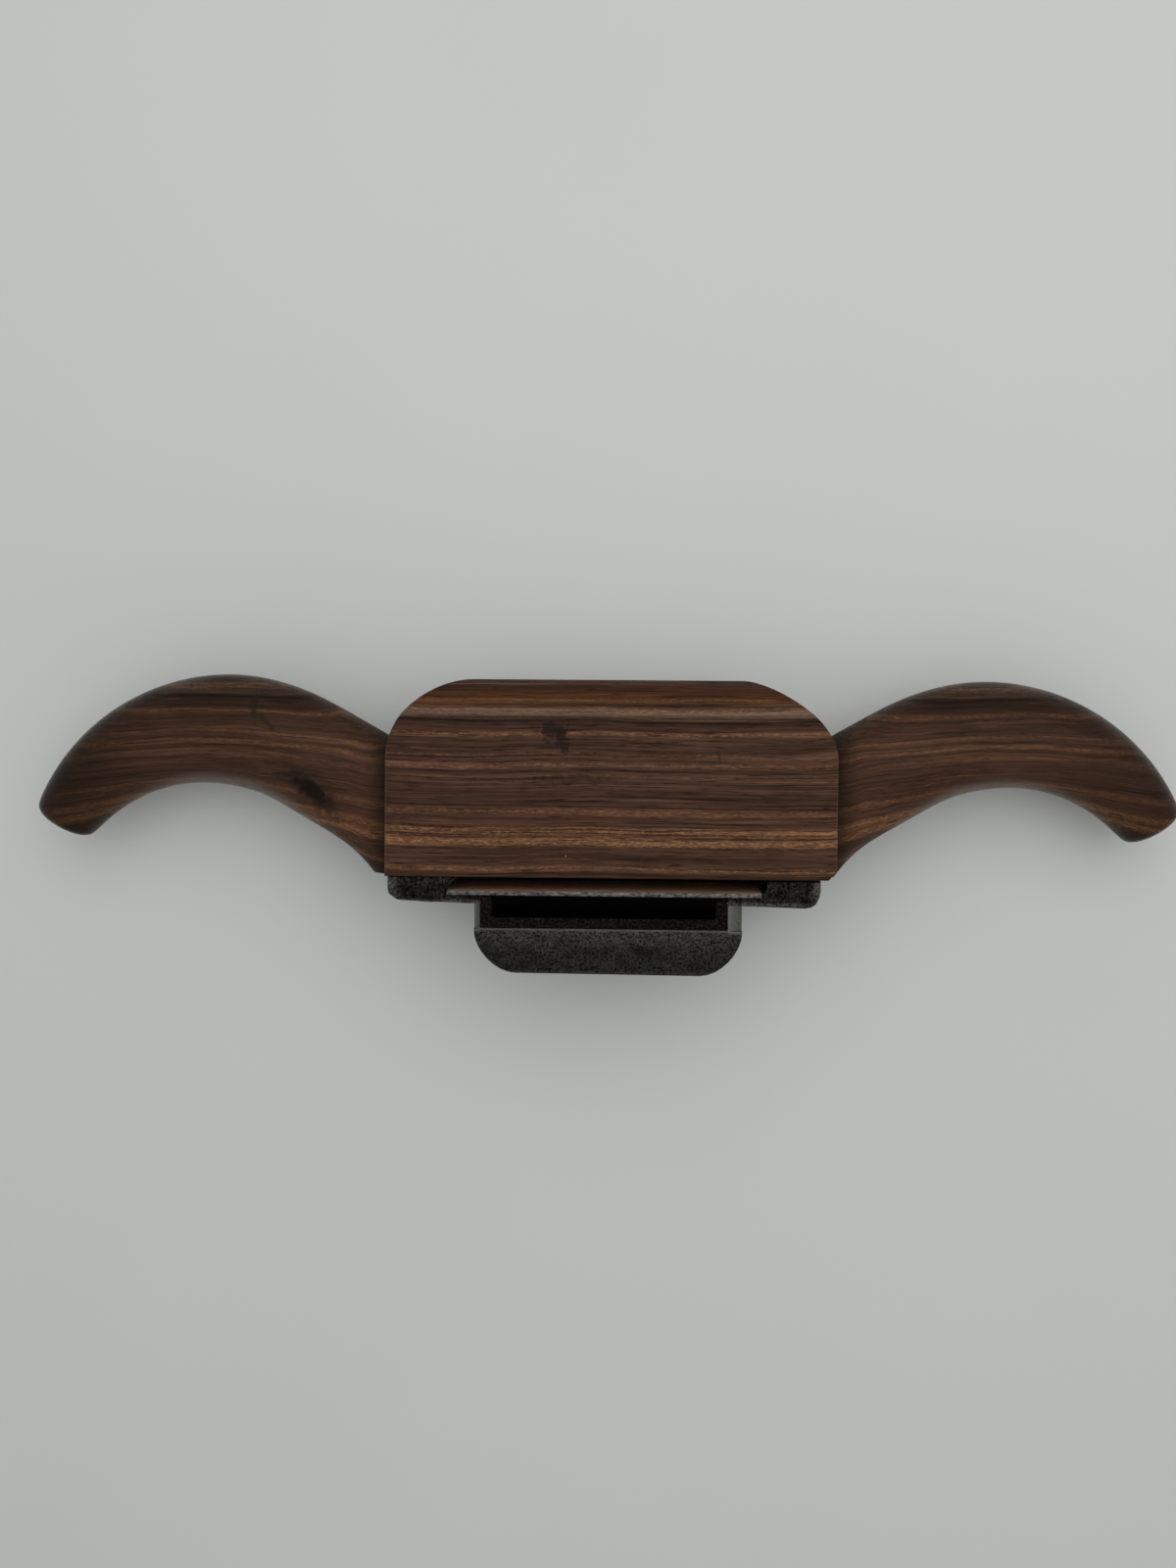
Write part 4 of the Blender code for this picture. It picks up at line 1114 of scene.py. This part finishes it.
@dataclass
class Stock:
    """The wooden stock: a block with a wide sole and rounded heel, and both handles."""

    sole_length: float = 0.059
    left: float = 0.0807
    right: float = 0.0850
    height: float = 0.050
    heel_run: float = 0.0149
    heel_drop: float = 0.020
    heel_arc: float = 55.0
    back_round: float = 0.014
    corner_lengths: Pair = (0.032, 0.034)
    corner_depth: float = 0.0295
    side_pull: float = 0.48
    heel_pulls: Pair = (0.50, 0.26)
    rebate_half: float = 0.0604
    rebate_length: float = 0.0175
    rebate_floor: float = 0.033
    cut_corner: Pair = (0.0030, 0.0038)
    handle_inset: float = 0.0002
    trim: float = 0.16
    arris: float = 0.0004
    overcut: float = 0.003
    curve_points: int = 14
    handles: tuple[Handle, Handle] = field(default_factory=lambda: (
        Handle(-1, 0.1496, 0.0718, -58.3, 0.0434, 0.0003),
        Handle(1, 0.1492, 0.0722, -56.3, 0.0418, 0.0009),
    ))

    def corner(self, end: float, sign: int) -> list[Vector]:
        """Rounded back corner in plan, from the block's end to its heel."""
        heel_y = self.sole_length / 2 + self.heel_run
        length, pull = self.corner_lengths[sign > 0], self.heel_pulls[sign > 0]
        side = Vector((end, heel_y - self.corner_depth))
        heel = Vector((end - sign * length, heel_y))
        leave = side + Vector((0.0, self.side_pull * self.corner_depth))
        reach = heel + Vector((sign * pull * length, 0.0))
        return interpolate_bezier(side, leave, reach, heel, self.curve_points)

    def heel(self) -> list[Corner]:
        """Draw the block's side outline.

        Returns:
            The outline, from the sole round the heel to the back.
        """
        start = math.radians(self.heel_arc)
        heel_y = self.sole_length / 2 + self.heel_run
        reach, rise = self.heel_run / (1 - math.cos(start)), self.heel_drop / math.sin(start)
        x, front = -self.left - self.overcut, -self.sole_length / 2 - self.overcut
        shares = [index / self.curve_points for index in range(self.curve_points + 1)]
        line = [(x, front, 0.0)]
        for angle in (start * (1 - share) for share in shares):
            line.append((x, heel_y - reach * (1 - math.cos(angle)), rise * math.sin(angle) - self.heel_drop))
        for angle in (QUARTER * share for share in shares):
            line.append((x, heel_y - self.back_round * (1 - math.cos(angle)),
                         -self.height + self.back_round * (1 - math.sin(angle))))
        line.append((x, front, -self.height))
        return line

    def build(self) -> Piece:
        """Model block and handles as one body.

        Returns:
            The stock.
        """
        deep, front = -self.height - self.overcut, -self.sole_length / 2
        across, along = self.cut_corner
        plan = [(-self.left, front, deep), (self.right - across, front, deep),
                (self.right, front + along, deep)]
        plan += [(p.x, p.y, deep) for p in self.corner(self.right, 1)]
        plan += [(p.x, p.y, deep) for p in self.corner(-self.left, -1)[::-1]]
        stock = trace("shaped_stock", plan, (0.0, 0.0, self.height + 2 * self.overcut))
        span = self.left + self.right + 2 * self.overcut
        join(stock, trace("side", self.heel(), (span, 0.0, 0.0)), Join.COMMON)
        round_edges(stock, self.arris, 2, 30.0)
        for shape, name in zip(self.handles, ("left_handle", "right_handle")):
            handle = shape.build(name)
            join(handle, block("trim", (-self.trim, front - self.trim, deep),
                               (self.trim, front + self.handle_inset, self.overcut)), Join.CUT)
            join(stock, handle, Join.ADD)
        rebate = block("rebate", (-self.rebate_half, front - self.overcut, deep),
                       (self.rebate_half, front + self.rebate_length, -self.rebate_floor))
        join(stock, rebate, Join.CUT)
        smooth(stock, 30.0)
        return stock

    def dress(self, piece: Piece) -> None:
        """Give it its wood."""
        hand_over(piece, "shave_body", "stock", Rosewood().material())


@dataclass
class Mouth:
    """The iron mouth casting with its bar, window, toe pad, uprights, bed and tang."""

    worn: float = 0.0003
    bar_top: float = -0.001
    bar_bottom: float = -0.009
    bar_face: float = -0.0393
    bar_front: float = -0.0360
    corner_depth: float = 0.0046
    corners: tuple[Pair, ...] = ((-0.0508, -0.0445), (0.0445, 0.0536))
    wedge: tuple[Pair, ...] = (
        (-0.0610, -0.0339), (-0.0579, -0.0339), (-0.0542, -0.0299), (-0.0610, -0.0299))
    wedge_floor: float = -0.0065
    bar_shifts: tuple[Corner, ...] = (  # beyond this X, out and back by
        (-0.0700, -0.0008, 0.0008), (0.0700, 0.0003, -0.0006))
    pad_back: float = -0.0482
    pad_stretch: float = 1.025

    def build(self) -> Piece:
        """Take the casting's solid, fill the corners beside the arms and wear its edges round.

        Returns:
            The casting.
        """
        casting = merged_copy("mouth_casting", "iron_mouth")
        for left, right in self.corners:
            fill = block("corner", (left, self.bar_face, self.bar_bottom + 2 * SAME),
                         (right, self.bar_face + self.corner_depth, self.bar_top))
            join(casting, fill, Join.ADD)
        wedge = trace("wedge", [(x, y, self.wedge_floor) for x, y in self.wedge],
                      (0.0, 0.0, self.bar_top - self.wedge_floor))
        join(casting, wedge, Join.ADD)
        with editing(casting):
            for side in (-1.0, 0.0):
                choose(Part.CORNERS, lambda at, way: at.y < self.pad_back - self.worn and at.x > side)
                stretch((1.0, self.pad_stretch, 1.0), (0.0, self.pad_back, 0.0))
            for outer, out, back in self.bar_shifts:
                for front, shift in ((0.0, (out, 0.0, 0.0)), (self.bar_front, (0.0, back, 0.0))):
                    choose(Part.CORNERS, lambda at, way: at.x / outer > 1.0 and at.y < front
                           and at.z > self.bar_bottom - SAME)
                    bpy.ops.transform.translate(value=shift)
        round_edges(casting, self.worn, 2, 40.0)
        smooth(casting, 40.0)
        return casting

    def dress(self, piece: Piece) -> None:
        """Give it its rough and polished iron."""
        hand_over(piece, "shave_body", "mouth_casting", CastIron().material())


@dataclass
class Blade:
    """The wide scraping blade with its two slots for the depth nuts."""

    width: float = 0.1155
    height: float = 0.0478
    thickness: float = 0.0015
    back_y: float = -0.0346
    lean: float = 3.3
    proud: float = 0.0003
    corner: float = 0.004
    slot_x: float = 0.027
    slot_half: float = 0.00589
    slot_rise: float = 0.0016
    nut_depth: float = 0.0432
    nicks: tuple[Corner, ...] = (  # place, half width and depth
        (0.0553, 0.0007, 0.0012), (-0.0557, 0.0004, 0.0006))
    through: float = 0.004
    arris: float = 0.00012

    def build(self) -> Piece:
        """Model the blade upright, then lean it.

        Returns:
            The blade.
        """
        half, foot = self.width / 2, self.proud - self.height
        blade = block("scraper_blade", (-half, -self.thickness, foot), (half, 0.0, self.proud))
        with editing(blade):
            choose(Part.EDGES, lambda at, way: at.z < foot + SAME and abs(way.y) > 0.9)
            bpy.ops.mesh.bevel(offset=self.corner, offset_type="WIDTH", segments=1)
        for x in (-self.slot_x, self.slot_x):
            slot = block("slot", (x - self.slot_half, -self.through, -self.nut_depth - self.slot_rise),
                         (x + self.slot_half, self.through, -self.nut_depth + self.slot_rise))
            join(blade, slot, Join.CUT)
        for x, wide, deep in self.nicks:
            nick = rod("nick", wide, -self.through, self.through, 3)
            settle(nick, (x, 0.0, self.proud + wide / 2 - deep), (QUARTER, 0.0, 0.0))
            join(blade, nick, Join.CUT)
        round_edges(blade, self.arris, 1, 40.0)
        settle(blade, (0.0, self.back_y, 0.0), (math.radians(self.lean), 0.0, 0.0))
        smooth(blade, 30.0)
        return blade

    def dress(self, piece: Piece) -> None:
        """Give it its ground edge, brown skin and painted reflection of the wood."""
        hand_over(piece, "blade_body", "blade", GroundSteel().material())


@dataclass
class Cap:
    """The japanned cap with its thumbscrews and washers."""

    worn: float = 0.0002
    screw_x: float = 0.0680
    screw_depth: float = 0.0345
    head_radius: float = 0.0065
    head_thickness: float = 0.0032
    dish_rim: float = 0.0011
    dish_depth: float = 0.0003
    shank_radius: float = 0.0024
    shank_length: float = 0.0110
    shank_point: float = 0.88
    chamfer: float = 0.0003
    washer_bore: float = 0.0027
    washer_edge: float = 0.0001
    teeth: int = 44

    def build(self) -> dict[str, Piece]:
        """Model the cap, one thumbscrew and one washer, and copy the small pieces to both sides.

        Returns:
            The pieces by name.
        """
        cap = merged_copy("blade_cap", "clamping_cap")
        round_edges(cap, self.worn, 1, 40.0)
        smooth(cap, 35.0)
        head_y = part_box("clamp_screw_left")[0].y + self.head_thickness
        low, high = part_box("clamp_washer_left")
        washer = ring("washer_pattern", (high.x - low.x) / 2, self.washer_bore, high.y - low.y,
                      self.washer_edge, 48)
        patterns = {"thumbscrew": (self.thumbscrew(), head_y), "thumb_washer": (washer, (low.y + high.y) / 2)}
        pieces = {"cap": cap}
        for side, sign in SIDES:
            for kind, (pattern, y) in patterns.items():
                name, place = f"{kind}_{side}", (sign * self.screw_x, y, -self.screw_depth)
                pieces[name] = placed(pattern, name, place, QUARTER)
        for pattern, _ in patterns.values():
            bpy.data.objects.remove(pattern)
        return pieces

    def thumbscrew(self) -> Piece:
        """Model a knurled head with a dished face and a slot, on a plain shank.

        Returns:
            The thumbscrew, about Z.
        """
        screw = knurled("screw_pattern", self.head_radius, 0.0, self.head_thickness, self.teeth)
        with editing(screw):
            choose(Part.FACES, lambda at, way: way.z > FACING and at.z > self.head_thickness - SAME)
            bpy.ops.mesh.inset(thickness=self.dish_rim)
            pull((0.0, 0.0, -self.dish_depth))
            choose(Part.FACES, lambda at, way: way.z < -FACING and at.z < SAME)
            bpy.ops.mesh.inset(thickness=self.head_radius - self.shank_radius - KNURL_EDGE)
            pull((0.0, 0.0, -self.shank_length + self.chamfer))
            pull((0.0, 0.0, -self.chamfer))
            stretch((self.shank_point, self.shank_point, 1.0))
        slotted(screw, self.head_thickness)
        return screw

    def dress(self, pieces: dict[str, Piece]) -> None:
        """Japan the cap; leave the small pieces bright."""
        steel = Metal("thumb_steel", (150, 146, 142), (92, 86, 82), 0.36).material()
        brass = Metal("washer_brass", (196, 164, 104), (120, 92, 52), 0.38).material()
        hand_over(pieces["cap"], "cap_body", "blade_cap", Japan().material())
        for side, _ in SIDES:
            hand_over(pieces["thumbscrew_" + side], side + "_thumbscrew", "clamp_screw_" + side,
                      steel)
            hand_over(pieces["thumb_washer_" + side], "cap_body", "clamp_washer_" + side, brass)


@dataclass
class Adjuster:
    """Studs in the tang, their locknuts, and the knurled nuts that move the blade."""

    x: float = 0.027
    back_y: float = -0.0346
    lean: float = 3.3
    offset: float = 0.0050
    stud_radius: float = 0.0022
    stud_length: float = 0.0200
    stud_end: float = 0.0490
    bore: float = 0.0025
    pitch: float = 0.0008
    thread_root: float = 0.86
    nut_radius: float = 0.0075
    nut_thickness: float = 0.0026
    hub_radius: float = 0.0038
    hub_thickness: float = 0.0008
    nut_depth: float = 0.0432
    locknut_radius: float = 0.0040
    locknut_thickness: float = 0.0020
    locknut_edge: float = 0.00025
    teeth: int = 52

    def stud(self) -> Piece:
        """Threaded stud from Z 0 up."""
        stud = rod("threaded_stud", self.stud_radius, 0.0, self.stud_length, 24)
        half_turns, step = 2 * int(self.stud_length / self.pitch), self.pitch / 2
        with editing(stud):
            choose(Part.EDGES, lambda at, way: abs(way.z) > FACING)
            bpy.ops.mesh.subdivide(number_cuts=half_turns - 1)
            choose(Part.CORNERS, lambda at, way: round(at.z / step) % 2 == 0)
            stretch((self.thread_root, self.thread_root, 1.0))
        return stud

    def depth_nut(self) -> Piece:
        """Model a knurled nut with a hub on both faces and a bore.

        Returns:
            The nut, about Z.
        """
        half = self.nut_thickness / 2
        nut = knurled("depth_nut", self.nut_radius, -half, half, self.teeth)
        with editing(nut):
            for sign in (1, -1):
                choose(Part.FACES, lambda at, way: way.z * sign > FACING and at.z * sign > half - SAME)
                bpy.ops.mesh.inset(thickness=self.nut_radius - self.hub_radius - KNURL_EDGE)
                pull((0.0, 0.0, sign * self.hub_thickness))
        join(nut, rod("bore", self.bore, -self.nut_radius, self.nut_radius, 32), Join.CUT)
        return nut

    def build(self) -> dict[str, Piece]:
        """Model one stud, locknut and nut, and copy them to both sides.

        Returns:
            The pieces by name.
        """
        low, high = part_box("stud_locknut_left")
        lean = math.radians(self.lean)
        locknut = ring("locknut", self.locknut_radius, self.bore, self.locknut_thickness,
                       self.locknut_edge, 6)
        patterns = {"stud": (self.stud(), self.stud_end),
                    "locknut": (locknut, -(low.z + high.z) / 2 / math.cos(lean)),
                    "nut": (self.depth_nut(), self.nut_depth)}
        pieces = {}
        for kind, (pattern, depth) in patterns.items():
            y = self.back_y + self.offset * math.cos(lean) + depth * math.sin(lean)
            z = self.offset * math.sin(lean) - depth * math.cos(lean)
            for side, sign in SIDES:
                name = f"{kind}_piece_{side}"
                pieces[name] = placed(pattern, name, (sign * self.x, y, z), lean)
            bpy.data.objects.remove(pattern)
        return pieces

    def dress(self, pieces: dict[str, Piece]) -> None:
        """Blued steel for studs and locknuts, dull brass for the nuts."""
        steel = Metal("stud_steel", (128, 124, 122), (70, 64, 60), 0.40).material()
        brass = Metal("nut_brass", (190, 156, 94), (112, 84, 46), 0.40).material()
        for side, _ in SIDES:
            for kind, body, node, slot, material in (
                    ("stud", "shave_body", "adjuster_stud_", "screw_steel", steel),
                    ("locknut", "shave_body", "stud_locknut_", "screw_steel", steel),
                    ("nut", side + "_nut", "adjuster_nut_", "brass", brass)):
                hand_over(pieces[f"{kind}_piece_{side}"], body, node + side, material)


@dataclass
class WoodScrews:
    """Five slotted countersunk wood screws."""

    head_radius: float = 0.0042
    shank_radius: float = 0.0021
    length: float = 0.0200
    point: float = 0.0045
    plain: float = 0.004
    pitch: float = 0.0012
    thread_root: float = 0.78
    point_root: float = 0.9
    rim: float = 0.0003
    sides: int = 32
    slot_turns: tuple[tuple[str, float], ...] = (
        ("front_screw_left", 14.0), ("front_screw_right", -38.0), ("tang_screw_left", 72.0),
        ("tang_screw_middle", 8.0), ("tang_screw_right", -21.0))

    def pattern(self) -> Piece:
        """Turn one screw about Z, head up, and cut its slot.

        Returns:
            The screw.
        """
        neck = -self.rim - self.head_radius + self.shank_radius
        line = [(0.0, 0.0, 0.0), (self.head_radius, 0.0, 0.0), (self.head_radius, 0.0, -self.rim),
                (self.shank_radius, 0.0, neck)]
        height = neck - self.plain
        while height - self.pitch > self.point - self.length:
            line.append((self.shank_radius, 0.0, height))
            line.append((self.thread_root * self.shank_radius, 0.0, height - self.pitch / 2))
            height -= self.pitch
        line += [(self.point_root * self.shank_radius, 0.0, self.point - self.length),
                 (0.0, 0.0, -self.length)]
        screw = trace("screw_pattern", line)
        with editing(screw):
            choose_all()
            bpy.ops.mesh.spin(steps=self.sides, angle=math.radians(360), center=ORIGIN, axis=(0.0, 0.0, 1.0))
            choose_all()
            bpy.ops.mesh.remove_doubles(threshold=SAME)
            face_out()
        slotted(screw, 0.0)
        return screw

    def build(self) -> dict[str, Piece]:
        """Copy the screw to its five places, each slot turned its own way.

        Returns:
            The screws by the solid that they stand for.
        """
        pattern = self.pattern()
        pieces = {}
        for node, slot_turn in self.slot_turns:
            low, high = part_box(node)
            middle = (low + high) / 2
            if node.startswith("front"):
                place, turn = (middle.x, low.y, middle.z), QUARTER
            else:
                place, turn = (middle.x, middle.y, low.z), 2 * QUARTER
            name = node.replace("screw", "wood_screw")
            pieces[node] = placed(pattern, name, place, turn, math.radians(slot_turn))
        bpy.data.objects.remove(pattern)
        return pieces

    def dress(self, pieces: dict[str, Piece]) -> None:
        """Dull blued steel."""
        steel = Metal("wood_screw_steel", (122, 116, 112), (66, 58, 54), 0.42).material()
        for node, piece in pieces.items():
            hand_over(piece, "shave_body", node, steel)


# --- Room -----------------------------------------------------------------------------------

@dataclass
class Room:
    """Table, window light and camera."""

    table_z: float = -0.050
    table_size: float = 8.0
    light_place: Corner = (0.12, 0.33, 0.62)
    light_aim: Corner = (0.02, 0.05, -0.05)
    light_size: Pair = (1.1, 0.8)
    light_power: float = 1.95
    light_hue: Corner = (1.0, 1.0, 0.99)
    overhead_level: float = 0.50
    wall_level: float = 0.44
    backdrop_level: float = 0.60
    lens: float = 27.04
    sensor: float = 36.0
    near: float = 0.01
    eye: Corner = (0.0039, 0.0129, 0.4303)
    aim: Corner = (-0.0061, 0.0050, 0.0)
    roll: float = 0.5

    def build(self) -> None:
        """Lay the table, hang the light and set up the camera."""
        rest()
        bpy.ops.mesh.primitive_plane_add(size=self.table_size, location=(0.0, 0.0, self.table_z))
        table = named("table_top")
        table.data.materials.append(TableTop().material())
        self.light()
        self.world()
        self.camera()
        bpy.context.scene.view_settings.view_transform = "Standard"
        LOG.info("room: table, light and camera")

    def light(self) -> None:
        """Wide window behind the heel."""
        lamp = bpy.data.lights.new("window_light", "AREA")
        lamp.shape = "RECTANGLE"
        lamp.size, lamp.size_y = self.light_size
        lamp.energy = self.light_power
        lamp.color = self.light_hue
        window = bpy.data.objects.new("window_light", lamp)
        window.location = self.light_place
        view = Vector(self.light_aim) - Vector(self.light_place)
        window.rotation_euler = view.to_track_quat("-Z", "Y").to_euler()
        bpy.context.scene.collection.objects.link(window)

    def world(self) -> None:
        """Soft light from the whole room: a pale ceiling and duller walls."""
        world = bpy.data.worlds.new("room")
        world.use_nodes = True
        bpy.context.scene.world = world
        tree = world.node_tree
        where, split, level, seen, path = (tree.nodes.new("ShaderNode" + kind) for kind in (
            "TexCoord", "SeparateXYZ", "MapRange", "Mix", "LightPath"))
        level.inputs["To Min"].default_value = self.wall_level
        level.inputs["To Max"].default_value = self.overhead_level
        seen.inputs[3].default_value = self.backdrop_level
        backdrop = tree.nodes["Background"]
        backdrop.inputs["Color"].default_value = (*self.light_hue, 1.0)
        for source, target in ((where.outputs["Generated"], split.inputs[0]),
                               (split.outputs["Z"], level.inputs["Value"]),
                               (path.outputs["Is Camera Ray"], seen.inputs[0]),
                               (level.outputs["Result"], seen.inputs[2]),
                               (seen.outputs[0], backdrop.inputs["Strength"])):
            tree.links.new(source, target)

    def camera(self) -> None:
        """Camera straight above the sole."""
        lens = bpy.data.cameras.new("overhead")
        lens.lens = self.lens
        lens.sensor_width = self.sensor
        lens.clip_start = self.near
        forward = (Vector(self.aim) - Vector(self.eye)).normalized()
        roll = math.radians(self.roll)
        right = forward.cross(Vector((-math.sin(roll), math.cos(roll), 0.0))).normalized()
        view = bpy.data.objects.new("overhead", lens)
        axes = Matrix((right, right.cross(forward), -forward)).transposed()
        view.matrix_world = Matrix.Translation(self.eye) @ axes.to_4x4()
        bpy.context.scene.collection.objects.link(view)
        bpy.context.scene.camera = view


def main() -> None:
    """Build the room and every sub-assembly in order, and note the model's size."""
    logging.basicConfig(level=logging.INFO, format="%(message)s")
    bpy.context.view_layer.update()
    Room().build()
    for assembly in (Stock(), Mouth(), Blade(), Cap(), Adjuster(), WoodScrews()):
        assembly.dress(assembly.build())
        LOG.info("%s done", type(assembly).__name__)
    rest()


if __name__ == "__main__":
    main()
